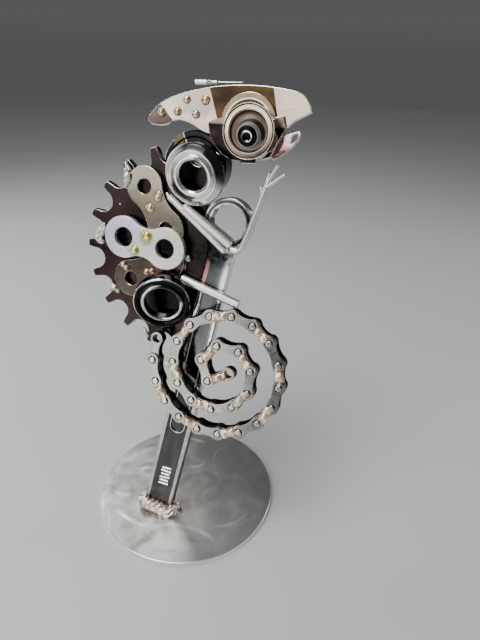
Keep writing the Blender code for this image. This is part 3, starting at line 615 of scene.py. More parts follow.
# %% Geometry Nodes helper: one shape on many points
def scatter_tree(name):
    """Puts a shape on every point, sized and turned by the point, with seeded variety."""
    tree = bpy.data.node_groups.new(name, "GeometryNodeTree")
    tree.is_modifier = True
    for label, kind in (("Geometry", "Geometry"), ("Shape", "Object"), ("Material", "Material"),
                        ("Spread", "Float"), ("Tumble", "Float"), ("Seed", "Int")):
        tree.interface.new_socket(label, in_out="INPUT", socket_type="NodeSocket" + kind)
    tree.interface.new_socket("Geometry", in_out="OUTPUT", socket_type="NodeSocketGeometry")
    add, link = tree.nodes.new, tree.links.new
    start, end = add("NodeGroupInput"), add("NodeGroupOutput")

    def stored(label):
        found = add("GeometryNodeInputNamedAttribute")
        found.data_type = "FLOAT_VECTOR"
        found.inputs["Name"].default_value = label
        return found.outputs["Attribute"]

    def seeded(low, high):
        draw = add("FunctionNodeRandomValue")
        draw.data_type = "FLOAT"
        if low:
            link(low, draw.inputs[2])
        link(high, draw.inputs[3])
        link(start.outputs["Seed"], draw.inputs["Seed"])
        return draw.outputs[1]

    def from_one(operation):
        step = add("ShaderNodeMath")
        step.operation = operation
        step.inputs[0].default_value = 1.0
        link(start.outputs["Spread"], step.inputs[1])
        return step.outputs[0]

    scaled = add("ShaderNodeVectorMath")
    scaled.operation = "SCALE"
    link(stored("size"), scaled.inputs[0])
    link(seeded(from_one("SUBTRACT"), from_one("ADD")), scaled.inputs["Scale"])
    about_z = add("ShaderNodeCombineXYZ")
    link(seeded(None, start.outputs["Tumble"]), about_z.inputs["Z"])
    total_turn = add("ShaderNodeVectorMath")
    link(stored("turn"), total_turn.inputs[0])
    link(about_z.outputs[0], total_turn.inputs[1])
    shape = add("GeometryNodeObjectInfo")
    link(start.outputs["Shape"], shape.inputs["Object"])
    copies = add("GeometryNodeInstanceOnPoints")
    link(start.outputs["Geometry"], copies.inputs["Points"])
    link(shape.outputs["Geometry"], copies.inputs["Instance"])
    link(total_turn.outputs[0], copies.inputs["Rotation"])
    link(scaled.outputs[0], copies.inputs["Scale"])
    real = add("GeometryNodeRealizeInstances")
    link(copies.outputs["Instances"], real.inputs["Geometry"])
    coat = add("GeometryNodeSetMaterial")
    link(real.outputs["Geometry"], coat.inputs["Geometry"])
    link(start.outputs["Material"], coat.inputs["Material"])
    link(coat.outputs["Geometry"], end.inputs["Geometry"])
    return tree


scatter = scatter_tree("shape_on_points")
print(f"{scatter.name}: {len(scatter.nodes)} nodes")


# %% Helper: scatter a mesh
def scattered(mesh, spots, material, spread=0.0, tumble=0.0, seed=1):
    """A mesh with the shape at every (point, size, turn)."""
    points = bpy.data.meshes.new("spots")
    points.from_pydata([spot for spot, _, _ in spots], [], [])
    for label, column in (("size", 1), ("turn", 2)):
        layer = points.attributes.new(label, "FLOAT_VECTOR", "POINT")
        for item, spot in zip(layer.data, spots):
            item.vector = spot[column]
    holder = new_item("spots", points)
    shape = new_item("shape", mesh)
    modifier = holder.modifiers.new("scatter", "NODES")
    modifier.node_group = scatter
    named = {socket.name: socket.identifier for socket in scatter.interface.items_tree
             if socket.in_out == "INPUT"}
    for label, value in (("Shape", shape), ("Material", material), ("Spread", spread),
                         ("Tumble", tumble), ("Seed", seed)):
        modifier[named[label]] = value
    result = evaluated(holder, shape)
    print(f"scattered {len(spots)} shapes, {len(result.polygons)} faces")
    return result


# %% Chrome of the spanner
def spanner_chrome():
    """Bright forged faces; painted dark reflections in panels, on neck and ring; painted shade
    in bore.
    """
    steel = flat_metal("spanner_chrome", spanner_axis, (0.52, 0.52, 0.51), (0.78, 0.78, 0.77),
                       (0.06, 0.18), scratch=0.003, along=(1, 0.05, 1))
    off_face = steel.math("ABSOLUTE", steel.z)
    # Painted dark reflection in the sunk panels.
    panel_reflection = steel.both(steel.range(off_face, 2.9, 2.6),
                          steel.range(steel.math("ABSOLUTE", steel.x), 7.4, 7.0),
                          steel.range(steel.y, 164.6, 164.0))
    steel.paint(panel_reflection, steel.ramp(steel.noise(0.10, stretch=(1, 0.25, 1)),
                                     [(0.35, 0.045), (0.7, 0.13)]))
    # Painted reflections across the neck: pink, dark and bright streaks.
    sway = steel.math("MULTIPLY_ADD", steel.noise(0.06, 3.0, (1, 0.4, 1)), 2.4, -1.2)
    across = steel.range(steel.math("ADD", steel.x, sway), -7.5, 7.5)
    neck_reflection = steel.ramp(across, [
        (0.0, (0.20, 0.18, 0.18)), (0.015, (0.36, 0.15, 0.125)), (0.07, (0.42, 0.19, 0.16)),
        (0.11, (0.035, 0.034, 0.036)), (0.50, (0.045, 0.052, 0.05)),
        (0.74, (0.085, 0.10, 0.095)), (0.84, (0.30, 0.32, 0.31)), (0.91, (0.90, 0.91, 0.89))])
    on_neck = steel.both(steel.range(steel.y, 156, 160), steel.range(steel.y, 191, 187),
                         steel.range(steel.z, 1.6, 2.2))
    steel.paint(on_neck, neck_reflection, 0.95)
    # Painted dark reflection at the top of the neck.
    neck_top_reflection = steel.both(on_neck, steel.side(0, 1, 177.5, 1.2), steel.side(-1, 0, 2.0, 1.0))
    steel.paint(neck_top_reflection, (0.05, 0.05, 0.052))
    # Painted dark reflection on the ring's face round the bore.
    steel.paint(steel.ring(*RING, 12.3, 10.75, 0.2, 0.12), (0.045, 0.047, 0.05), 0.95)
    # Painted shade on the wall of the bore.
    bore_wall_shade = steel.both(steel.disc(*RING, 10.6, 0.1), steel.range(off_face, 3.55, 3.35))
    steel.paint(bore_wall_shade, (0.06, 0.064, 0.066), 0.9)
    heat = steel.math("MULTIPLY_ADD", steel.noise(0.25), 8.0, steel.y)
    steel.paint(steel.range(heat, 21, 11), (0.055, 0.036, 0.024), 0.9)
    return steel.done()


piece("spanner_forged", spanner, spanner_mm, spanner_chrome(), "chrome", "spanner")

# %% Raised strokes and the rim of the slot
stroke_white = flat_metal("stroke_chrome", spanner_axis, (0.86, 0.86, 0.84),
                          (0.97, 0.97, 0.95), (0.25, 0.4), along=(1, 0.05, 1)).done()
FIRST_STROKE, STROKE_STEP, STROKE_HALF_LENGTH, STROKE_RADIUS = 22.4, 2.55, 3.5, 0.68
stroke = bar([(-STROKE_HALF_LENGTH, 0, 0), (STROKE_HALF_LENGTH, 0, 0)], [STROKE_RADIUS] * 2,
             end=0.2, resolution=3)
strokes = [((0.2, FIRST_STROKE + STROKE_STEP * i, 2.4), (length, 1, 0.75), (0, 0, lean))
           for i, (length, lean) in enumerate(((1.0, 0.12), (0.88, 0.10), (1.0, 0.22),
                                               (0.86, 0.14), (1.0, 0.10), (0.92, 0.16)))]
piece("spanner_marks", scattered(stroke, strokes, stroke_white), spanner_mm, stroke_white,
      "chrome")
RIM_OUT, RIM_UP, RIM_TOP, RIM_THICK = 4.75, 2.45, 152, 0.32
rim_path = [(x, y, RIM_UP) for x, y in [(-RIM_OUT, RIM_TOP)]
            + arc(SLOT_FOOT, RIM_OUT, math.pi, math.tau, 20) + [(RIM_OUT, RIM_TOP)]]
front_rim, back_rim = (bar(rim_path, [RIM_THICK] * len(rim_path), end=0.1, resolution=4)
                       for _ in ("front", "back"))
piece("spanner_slot_rims", together(front_rim, at(back_rim, spin(180, "Y"))), spanner_mm,
      stroke_white, "chrome")


# %% [markdown]
# ## Foot weld
# The weld bead round the foot was laid in short pulls, and each pull froze as a slanted ripple.
# A tube that follows the foot gets its radius from a sine of the path, skewed round the tube,
# and a little noise. Its underside is pressed flat on the disc. Cooling left a tint on all of
# the welds, so they share one function and differ in tone.

# %% Weld finishes
def weld_metal(name, dark, light, rough, hot=None, pits=0.02, metallic=0.65, clouds=0.35):
    metal = Finish(name, figure, metallic)
    metal.tones(clouds, [(0.3, dark), (0.65, light)], detail=3.0)
    if hot:
        metal.paint(metal.range(metal.noise(0.30, 2.0, shift=(4, 8, 1)), 0.5, 0.68), hot)
    metal.rough(*rough, 0.5)
    metal.relief(metal.noise(1.1, 2.0), pits, 0.6)
    return metal.done()


weld_silver = weld_metal("weld_silver", (0.80, 0.71, 0.65), (1.0, 0.94, 0.89), (0.17, 0.26),
                         (0.86, 0.66, 0.58), pits=0.002, metallic=0.80, clouds=0.14)
weld_bronze = weld_metal("weld_bronze", (0.62, 0.38, 0.19), (0.98, 0.86, 0.64), (0.14, 0.26),
                         (0.66, 0.36, 0.24), metallic=0.85)
weld_gold = weld_metal("weld_gold", (0.82, 0.58, 0.08), (1.0, 0.90, 0.30), (0.16, 0.28),
                       metallic=0.8)
weld_pale = weld_metal("weld_pale", (0.56, 0.53, 0.42), (0.94, 0.92, 0.84), (0.14, 0.26),
                       (0.62, 0.52, 0.34))


# %% Helper: a lumpy drop of weld metal
def lumpy(seed, roughness=0.22, level=3):
    shape = bmesh.new()
    bmesh.ops.create_icosphere(shape, subdivisions=level, radius=1.0)
    for vertex in shape.verts:
        way = vertex.co.normalized()
        push = (noise.noise(way * 1.3 + Vector((seed, 0, 0)))
                + 0.5 * noise.noise(way * 2.9 + Vector((0, seed, 0))))
        vertex.co = way * (1 + roughness * push)
    return mesh_from(shape, "drop", outwards=False)


# %% Path of the bead round the foot
HALF_WIDTH, HALF_DEPTH, CORNER = 9.7, 3.0, 1.5


def bead_path(share):
    """Point of the rounded oblong round the foot, after a share of one lap."""
    straight_x, straight_z = HALF_WIDTH - CORNER, HALF_DEPTH - CORNER
    quarter = math.pi / 2 * CORNER
    run = share % 1.0 * 4 * (straight_x + straight_z + quarter)
    for side_x, side_z, length, start in ((1, 1, 2 * straight_x, math.pi / 2),
                                          (1, -1, 2 * straight_z, 0.0),
                                          (-1, -1, 2 * straight_x, -math.pi / 2),
                                          (-1, 1, 2 * straight_z, math.pi)):
        if run <= length + quarter:
            break
        run -= length + quarter
    angle = start - max(run - length, 0.0) / CORNER
    bend = Vector(polar((side_x * straight_x, side_z * straight_z), CORNER, angle))
    before_bend = max(length - run, 0.0)
    return bend - before_bend * Vector((math.sin(start), -math.cos(start)))


print("bead's corners in mm:", [[round(c, 2) for c in bead_path(i / 4)] for i in range(4)])

# %% Ripple the bead
PULLS, LAP_STEPS, BEAD_STEPS = 15, 420, 48
BEAD_RADIUS, BEAD_UP, ABOVE_DISC = 4.6, 2.75, 0.00302
SKEW, WANDER = 1.1, 0.60
VALLEY, RIPPLE_HEIGHT, RIPPLE_SWAY, LUMP_HEIGHT = 0.70, 0.29, 0.08, 0.05
shape = bmesh.new()
rows = []
for i in range(LAP_STEPS):
    share = i / LAP_STEPS
    here = bead_path(share)
    along = (bead_path(share + 0.003) - here).normalized()
    outward = Vector((-along.y, along.x))
    sway = noise.noise(Vector((share * 23, 7.7, 0.5)))
    row = []
    for j in range(BEAD_STEPS):
        a = math.tau * j / BEAD_STEPS
        pull = (share * PULLS - SKEW * math.sin(a) + WANDER * sway) % 1.0
        ripple = math.sin(math.pi * pull ** 0.8) ** 0.7
        lump = noise.noise(Vector((share * 31, a, 3.3)))
        radius = BEAD_RADIUS * (VALLEY + (RIPPLE_HEIGHT + RIPPLE_SWAY * sway) * ripple
                                + LUMP_HEIGHT * lump)
        flat = here + outward * radius * math.cos(a)
        row.append(shape.verts.new((flat.x, BEAD_UP + radius * math.sin(a), flat.y)))
    rows.append(row)
skin(shape, rows)
bmesh.ops.transform(shape, matrix=spanner_mm, verts=shape.verts)
for vertex in shape.verts:
    vertex.co.z = max(vertex.co.z, ABOVE_DISC)
bead = mesh_from(shape, "bead")
drops = [at(lumpy(seed, 0.15), Matrix.Scale(size, 4), spanner_mm @ shift(*spot))
         for seed, size, spot in ((2.0, 1.8, (13.6, 5.4, -2.6)), (4.0, 1.2, (12.6, 8.2, -2.0)),
                                  (6.0, 1.3, (9.2, 7.4, 2.4)))]
piece("foot_weld_bead", together(bead, *drops), Matrix.Identity(4), weld_silver, "weld_metal",
      "foot_weld", angle=60)


# %% [markdown]
# ## Sprocket crest
# Half a sprocket makes the spiny back. Its teeth are arcs about points on one circle, so the
# outline is written as a loop over the teeth. The half that would lie on the spanner is cut
# away along the spanner's own outline.

# %% Dark steel
def sprocket_steel():
    """Sooty dark, with a maroon heat colour at the lower left and a painted shadow round the
    hip.
    """
    steel = flat_metal("dark_steel", figure, (0.018, 0.014, 0.014), (0.040, 0.030, 0.029),
                       (0.16, 0.30), scratch=0.003, along=(1, 0.3, 1), clouds=0.06)
    maroon = steel.both(steel.side(-1, 0, 24, 8.0), steel.side(0, -1, -205, 8.0))
    steel.paint(maroon, (0.050, 0.029, 0.029), 0.7)
    # Painted shadow on the sprocket round the hip.
    hip_shadow = steel.both(steel.disc(2.9, 150.0, 13.0, 2.0), steel.range(steel.z, 0.5, 1.5))
    steel.paint(hip_shadow, (0.007, 0.007, 0.008), 0.85)
    steel.wear_and_sheen((0.72, 0.68, 0.62))
    return steel.done()


# %% Build the crest
SPROCKET, SPROCKET_THICK = (9.2, 176.4), 5.0
TEETH, FIRST_TOOTH, TIP_RADIUS, SEAT_RADIUS, SEAT_ROUNDING = 20, 107.9, 58.3, 54.3, 5.8
pitch = math.tau / TEETH
half_tip = 1.9 / TIP_RADIUS
outline = []
for tooth in range(TEETH):
    tip = math.radians(FIRST_TOOTH) + pitch * tooth
    outline += arc(SPROCKET, TIP_RADIUS, tip - half_tip, tip + half_tip, 2)
    middle = tip + pitch / 2
    outline += arc(polar(SPROCKET, SEAT_RADIUS, middle), SEAT_ROUNDING,
                   middle - math.radians(92), middle - math.radians(268), 12)
crest = plate([outline], SPROCKET_THICK, edge=0.45)
GAP = 0.3
side = shank_side(GAP)
ring_room = RING_RADIUS + GAP
room = ([(side[0][0], -120)] + side[1:] + arc(RING, ring_room, math.radians(207), math.pi, 8)
        + [(-ring_room, 330), (120, 330), (120, -120)])
room_plate = at(plate([room], 16, edge=0.05, steps=1), figure_mm.inverted() @ spanner_mm)
crest = combined(crest, [room_plate], "DIFFERENCE")
piece("crest_sprocket_cut", crest, figure_mm, sprocket_steel(), "dark_steel",
      "crest_sprocket")


# %% [markdown]
# ## Back plates
# Three side plates from a large chain lie on the sprocket like scales. A chain plate is two
# round ends joined by a waist, so its outline is four arcs that touch. The outer plates are
# browned by heat, and the middle one is bright with a lilac to cream temper colour.

# %% Outline of a chain plate
def link_outline(length, end_radius, waist, end_steps=24, waist_steps=10):
    side_radius = ((length / 2) ** 2 + waist ** 2 - end_radius ** 2) / (2 * (end_radius - waist))
    rise = waist + side_radius
    touch = math.atan2(rise, length / 2)
    line = arc((0, 0), end_radius, touch, math.tau - touch, end_steps)
    line += arc((length / 2, -rise), side_radius, math.pi - touch, touch, waist_steps)[1:-1]
    line += arc((length, 0), end_radius, touch - math.pi, math.pi - touch, end_steps)
    line += arc((length / 2, rise), side_radius, -touch, touch - math.pi, waist_steps)[1:-1]
    return line


BACK_PITCH, PLATE_THICK = 25.4, 3.2
BACK_LAYER = SPROCKET_THICK / 2 + GAP
MIDDLE_LAYER = BACK_LAYER + PLATE_THICK + GAP
print("backs of the plates in mm:", round(BACK_LAYER, 1), round(MIDDLE_LAYER, 1))


def back_plate(centre, turn, layer, end_radius=10.7, waist=7.9, hole=4.0):
    holes = [circle((x, 0), hole, 40) for x in (0, BACK_PITCH)]
    mesh = plate([link_outline(BACK_PITCH, end_radius, waist)] + holes, PLATE_THICK, edge=0.38)
    return at(mesh, shift(-BACK_PITCH / 2, 0), spin(turn, "Z"),
              shift(*centre, layer + PLATE_THICK / 2))


# %% Finishes of the outer plates
# Painted shadow where the outer plates show through the middle plate's right hole.
HOLE_SHADOW = (2.8, 179.9, 6.6, 0.6)


def upper_plate_steel():
    """Bronze brown, lighter at the top, burnt by its two welds, with painted shadow by the hole.
    """
    steel = flat_metal("bronzed_steel", figure, (0.23, 0.19, 0.145), (0.38, 0.335, 0.265),
                       (0.16, 0.28), scratch=0.004, along=(0.6, 0.3, 1), clouds=0.08)
    steel.paint(steel.side(0, -1, -204, 9.0), (0.13, 0.11, 0.085), 0.7)
    steel.paint(steel.side(0, 1, 213, 5.0), (0.48, 0.44, 0.33), 0.5)
    for x, y, radius in ((-2.9, 207.3, 3.4), (-8.0, 200.6, 3.2)):
        steel.paint(steel.disc(x, y, radius, 1.0), (0.16, 0.10, 0.05), 0.6)
    steel.wear_and_sheen((0.86, 0.82, 0.72))
    steel.paint(steel.disc(*HOLE_SHADOW), (0.012, 0.012, 0.012))
    return steel.done()


def lower_plate_steel():
    """Darker brown, and reddish to the right, with painted shadow by the hole."""
    steel = flat_metal("lower_plate_steel", figure, (0.05, 0.038, 0.03), (0.11, 0.088, 0.07),
                       (0.14, 0.26), scratch=0.004, along=(0.6, 0.3, 1), clouds=0.10)
    steel.paint(steel.side(1, 0, -8, 5.0), (0.10, 0.050, 0.055), 0.7)
    steel.wear_and_sheen((0.84, 0.79, 0.68))
    steel.paint(steel.disc(*HOLE_SHADOW), (0.012, 0.012, 0.012))
    return steel.done()


# %% Finish of the middle plate
def middle_plate_steel():
    """Satin, from lilac at the upper left to cream at the lower right."""
    steel = flat_metal("satin_steel", figure, (0.80, 0.79, 0.78), (0.92, 0.91, 0.89),
                       (0.22, 0.32), scratch=0.0015, along=(0.4, 1, 1), clouds=0.08,
                       metallic=0.65, wear_and_sheen=(0.98, 0.98, 0.97))
    steel.paint(steel.side(-1, 0.6, 128, 9.0), (0.74, 0.71, 0.90), 0.8)
    steel.paint(steel.side(1, -0.4, -75, 9.0), (0.88, 0.80, 0.64), 0.6)
    steel.paint(steel.disc(-8.3, 184.6, 4.2, 1.6), (0.33, 0.22, 0.06), 0.55)
    steel.paint(steel.disc(-15.6, 176.4, 3.6, 1.4), (0.33, 0.22, 0.10), 0.5)
    return steel.done()


# %% Build the plates
UPPER, UPPER_TURN = (-5.1, 200.9), 121.4
upper = back_plate(UPPER, UPPER_TURN, BACK_LAYER)
piece("back_plate_upper_pin", upper, figure_mm, upper_plate_steel(), "bronzed_steel",
      "back_plate_upper")
middle = back_plate((-9.8, 181.7), -8.3, MIDDLE_LAYER, end_radius=11.7, waist=8.0, hole=5.5)
piece("back_plate_middle_pin", middle, figure_mm, middle_plate_steel(), "satin_steel",
      "back_plate_middle")
lower = back_plate((-8.5, 166.2), 30.7, BACK_LAYER)
upper_end = polar(UPPER, -BACK_PITCH / 2, math.radians(UPPER_TURN))
upper_room = turned([(0, 8), (11, 8), (11, -8), (0, -8)], rounding=0.05, steps=64, closed=False)
upper_room = at(upper_room, shift(*upper_end))
lower = combined(lower, [upper_room], "DIFFERENCE")
piece("back_plate_lower_pin", lower, figure_mm, lower_plate_steel(), "bronzed_steel",
      "back_plate_lower")


# %% [markdown]
# ## Bearings
# A ball bearing shows an outer race, a recessed shield and an inner race with a chamfered bore.
# Each race is turned from its section. The shoulder is bright, the hip is blacked, and a dark
# drum sits behind the shoulder.

# %% Place of the shoulder, against the arm's upper rod
LOWER_ROD_RADIUS, UPPER_ROD_RADIUS, UPPER_ROD_LIFT = 1.7, 2.1, 2.4
LOWER_ROD_LAYER = RING_THICK / 2 + GAP + LOWER_ROD_RADIUS
UPPER_ROD_LAYER = LOWER_ROD_LAYER + UPPER_ROD_LIFT
SHOULDER, SHOULDER_RADIUS, SHOULDER_TIP, SHOULDER_DROP = (20.0, 220.6), 15.4, 13, 3.1
shoulder_layer = (UPPER_ROD_LAYER + UPPER_ROD_RADIUS - SHOULDER_DROP
                  + SHOULDER_RADIUS * math.sin(math.radians(SHOULDER_TIP)))
shoulder = figure_mm @ shift(*SHOULDER, shoulder_layer) @ tilt(SHOULDER_TIP)
print("shoulder's layer in mm:", round(shoulder_layer, 2))


# %% Finishes of the shoulder
def outer_race_chrome():
    """Painted highlight at the left, painted dark reflection at the upper right, two fine turned
    lines.
    """
    steel = flat_metal("bearing_chrome", figure, (0.76, 0.78, 0.75), (0.90, 0.92, 0.88),
                       (0.10, 0.17), scratch=0.001, clouds=0.08)
    race = steel.less(steel.disc(*SHOULDER, 11.3, 0.2))
    # Painted highlight over the left of the race.
    bright = steel.both(race, steel.past(SHOULDER, (-1, 0.1), 4.5, 3.5))
    steel.paint(bright, (0.97, 0.98, 0.93), 0.8)
    for radius in (13.2, 14.5):
        steel.paint(steel.ring(*SHOULDER, radius, radius - 0.35, 0.12), (0.16, 0.16, 0.15), 0.45)
    # Painted dark reflection over the upper right.
    dim_reflection = steel.both(race, steel.past(SHOULDER, (0.62, 0.78), 4.0, 4.5))
    steel.paint(dim_reflection, (0.045, 0.047, 0.054))
    # Painted shade in the groove beside the inner race.
    steel.paint(steel.ring(*SHOULDER, 12.0, 11.0, 0.4, 0.3), (0.20, 0.19, 0.17), 0.5)
    smear = steel.both(steel.ring(*SHOULDER, 14.0, 10.9, 0.9, 0.4),
                       steel.disc(13.6, 210.4, 7.5, 2.0))
    steel.paint(smear, (0.030, 0.020, 0.016))
    # The painted highlight is also made less metallic, so that it stays light.
    steel.link(steel.range(bright, 0.0, 1.0, 0.9, 0.55), steel.shader.inputs["Metallic"])
    return steel.done()


def inner_race_chrome():
    """Bright, with an oily spot on top and painted shade in the bore."""
    steel = flat_metal("bearing_inner_chrome", shoulder, (0.78, 0.80, 0.76),
                       (0.92, 0.94, 0.89), (0.09, 0.16), scratch=0.0008, clouds=0.08,
                       metallic=0.88)
    steel.paint(steel.disc(3.0, 8.8, 2.2, 1.6), (0.05, 0.05, 0.055), 0.85)
    # Painted shade in the bore.
    steel.paint(steel.disc(0, 0, 7.45, 0.12), (0.010, 0.010, 0.012))
    return steel.done()


# %% Turn the shoulder
outer = turned([(11.3, 0), (15.9, 0), (15.9, 2.7), (15.3, 3.7), (12.4, 5.5), (11.8, 5.5),
                (11.3, 5.0)], rounding=0.45)
piece("shoulder_race_outer", outer, shoulder, outer_race_chrome(), "chrome",
      "shoulder_outer_race")
inner = turned([(7.2, 0), (11.2, 0), (11.2, 4.7), (10.8, 4.9), (10.0, 5.8), (9.3, 6.0),
                (8.4, 5.8), (7.5, 5.0), (7.2, 4.2)])
piece("shoulder_race_inner", inner, shoulder, inner_race_chrome(), "chrome",
      "shoulder_inner_race")

# %% Place of the hip, against the sprocket
HIP, HIP_RADIUS, HIP_TIP, HIP_TURN = (2.9, 151.7), 16, 17, 18
swing = math.hypot(math.sin(math.radians(HIP_TIP)), math.sin(math.radians(HIP_TURN)))
hip_layer = BACK_LAYER + HIP_RADIUS * swing
hip = figure_mm @ shift(*HIP, hip_layer) @ tilt(HIP_TIP, HIP_TURN)
print("hip's layer in mm:", round(hip_layer, 2))


# %% Finishes of the hip
def hip_black():
    """Glossy black with a painted highlight on its outer edge."""
    steel = flat_metal("black_steel", hip, (0.006, 0.006, 0.007), (0.018, 0.018, 0.020),
                       (0.06, 0.14))
    # Painted highlight along the outer edge.
    edge = steel.both(steel.less(steel.disc(0, 0, 15.35, 0.12)), steel.range(steel.z, 4.6, 5.2))
    steel.paint(edge, (0.80, 0.81, 0.82))
    return steel.done()


def hip_chrome():
    """Chrome under old oil, wiped bright at the right."""
    steel = flat_metal("hip_chrome", hip, (0.74, 0.76, 0.74), (0.90, 0.92, 0.89),
                       (0.08, 0.15), scratch=0.001, clouds=0.1)
    oily = steel.both(steel.side(0.75, 0.65, 3.0, 4.5),
                      steel.less(steel.disc(11.5, -1.0, 3.0, 1.5)))
    steel.paint(oily, (0.020, 0.020, 0.022), 0.93)
    return steel.done()


# %% Turn the hip
outer = turned([(12.6, 0), (16.0, 0), (16.0, 5.2), (15.2, 6.0), (13.6, 6.0), (12.6, 5.2)],
               rounding=0.35)
piece("hip_race_outer", outer, hip, hip_black(), "black_steel", "hip_outer_race")
inner = turned([(9.8, 0), (12.3, 0), (12.3, 4.9), (11.6, 5.6), (10.8, 6.0), (9.8, 5.4)],
               rounding=0.35)
piece("hip_race_inner", inner, hip, hip_chrome(), "chrome", "hip_inner_race")

# %% Drum behind the shoulder
DRUM, DRUM_WIDTH = (13.2, 224.5), 11.0


def drum_steel():
    """Nearly black, with a violet side, an olive patch, a light streak and a painted edge
    highlight.
    """
    steel = flat_metal("drum_steel", figure, (0.007, 0.008, 0.008), (0.024, 0.026, 0.025),
                       (0.10, 0.22), clouds=0.16)
    steel.paint(steel.both(steel.side(1, 0, 22, 3.0), steel.noise(0.2, 2.0)),
                (0.035, 0.022, 0.040))
    # Painted highlight along the left of the drum's outer edge.
    rim_highlight = steel.both(steel.less(steel.disc(*DRUM, 17.1, 0.2)), steel.side(-1, 0, -4.0, 1.0),
                     steel.range(steel.z, -5.0, -4.0))
    steel.paint(rim_highlight, (0.60, 0.62, 0.58))
    front = steel.range(steel.z, -10.0, -8.0)
    olive = steel.both(steel.side(1, 0, 1.2, 0.4), steel.side(-1, 0, -6.3, 0.4),
                       steel.side(0, 1, 231.0, 0.6), front)
    steel.paint(olive, (0.10, 0.086, 0.035), 0.9)
    streak = steel.both(steel.past((7.3, 237.0), (2.4, 1), 0.25),
                        steel.past((7.7, 237.0), (-2.4, -1), 0.25),
                        steel.side(0, 1, 231.0, 0.5), front)
    steel.paint(streak, (0.66, 0.64, 0.60))
    return steel.done()


drum = turned([(7.5, 0), (17.8, 0), (17.8, 10.2), (17.0, DRUM_WIDTH), (14.6, DRUM_WIDTH),
               (14.2, 10.2), (10.6, 10.2), (10.2, DRUM_WIDTH), (8.2, DRUM_WIDTH), (7.5, 10.4)],
              rounding=0.4)
piece("shoulder_drum_turned", drum, figure_mm @ shift(*DRUM, -BACK_LAYER - DRUM_WIDTH),
      drum_steel(), "dark_steel", "shoulder_drum_far")

# %% [markdown]
# ## Head
# The head is one polished plate with a horn behind and a beak in front. A formed bracket lies
# on it as the cheek, and a stepped ring holds the turret eye. The plate's polish shows
# reflections with hard borders, and the finish paints them as half planes in the head's own
# drawing.

# %% Polished steel of the head
def head_steel():
    """Cream, with painted reflections: a brown horn, a dark field over the eye and other
    patches.
    """
    steel = flat_metal("polished_steel", figure, (0.45, 0.365, 0.30), (0.65, 0.54, 0.445),
                       (0.14, 0.22), along=(0.1, 1, 1), clouds=0.05)
    # Painted reflections: the dark field over the eye, the brown horn, and grey, pink and yellow
    # patches.
    dark = steel.ramp(steel.noise(0.12, 3.0, (0.4, 1, 1)),
                      [(0.35, (0.030, 0.019, 0.014)), (0.65, (0.080, 0.048, 0.022))])
    brown = steel.ramp(steel.noise(0.15, 3.0),
                       [(0.35, (0.050, 0.035, 0.031)), (0.65, (0.10, 0.072, 0.062))])
    grey = steel.both(steel.disc(15.0, 250.0, 10.0, 6.0),
                      steel.range(steel.noise(0.10, 3.0), 0.3, 0.6))
    steel.paint(grey, (0.29, 0.295, 0.26), 0.95)
    pink_reflection = steel.both(steel.disc(58.5, 260.0, 5.0, 4.0), steel.side(0, 1, 254.0, 3.0))
    steel.paint(pink_reflection, (0.58, 0.42, 0.39), 0.6)
    steel.paint(steel.past((68.0, 256.0), (1, 0.2), 5.0), (0.64, 0.60, 0.43), 0.6)
    steel.paint(steel.past((-1.5, 249.2), (-2.1, -12.4 / 6), 0.3), brown)
    eye_field_reflection = steel.both(steel.past((21.2, 261.8), (11.8, 4.0), 0.15),
                          steel.past((53.9, 263.0), (-10.5, -2.6), 0.15))
    steel.paint(eye_field_reflection, dark)
    # Painted shade along two creases.
    for start, end in ((Vector((16.4, 251.5)), Vector((21.3, 242.3))),
                       (Vector((58.0, 252.6)), Vector((66.7, 254.7)))):
        middle, run = (start + end) / 2, end - start
        across = Vector((run.y, -run.x)).normalized()
        crease_shade = steel.both(steel.past(middle, across, 0.2, -0.25),
                            steel.past(middle, -across, 0.2, -0.25),
                            steel.disc(*middle, run.length / 2, 1.0))
        steel.paint(crease_shade, (0.30, 0.27, 0.25), 0.5)
    steel.wear_and_sheen((0.97, 0.94, 0.88))
    return steel.done()


# %% Head plate
EYE = (46.3, 242.2)
HEAD_THICK = 3.2
HEAD_LAYER = (HEAD_THICK - SPROCKET_THICK) / 2
HEAD_TOP = ((-12.8, 245.7), (-11.7, 248.2), (-5.8, 253.9), (5.3, 258.8), (21.3, 262.5),
            (36.9, 264.0), (52.0, 263.8), (65.9, 261.9), (71.1, 258.6), (73.7, 253.0))
BEAK_UNDER = ((70.0, 251.0), (65.9, 248.7), (62.8, 245.8))
HORN_UNDER = ((21.0, 240.6), (17.1, 242.0), (11.4, 244.8), (5.8, 246.2), (2.4, 245.8),
              (-0.9, 243.9), (-5.5, 243.0), (-10.7, 243.4))
throat = arc(EYE, 12.6, math.radians(205), math.radians(372), 48)
head_line = [*soft_line(HEAD_TOP), *BEAK_UNDER, *reversed(throat), *soft_line(HORN_UNDER)]
piece("head_plate_polished", plate([head_line], HEAD_THICK, edge=0.55, steps=3),
      figure_mm @ shift(0, 0, HEAD_LAYER), head_steel(), "polished_steel", "head_plate")

# %% Finish of the cheek
CHEEK_DISC = (43.0, 245.6)


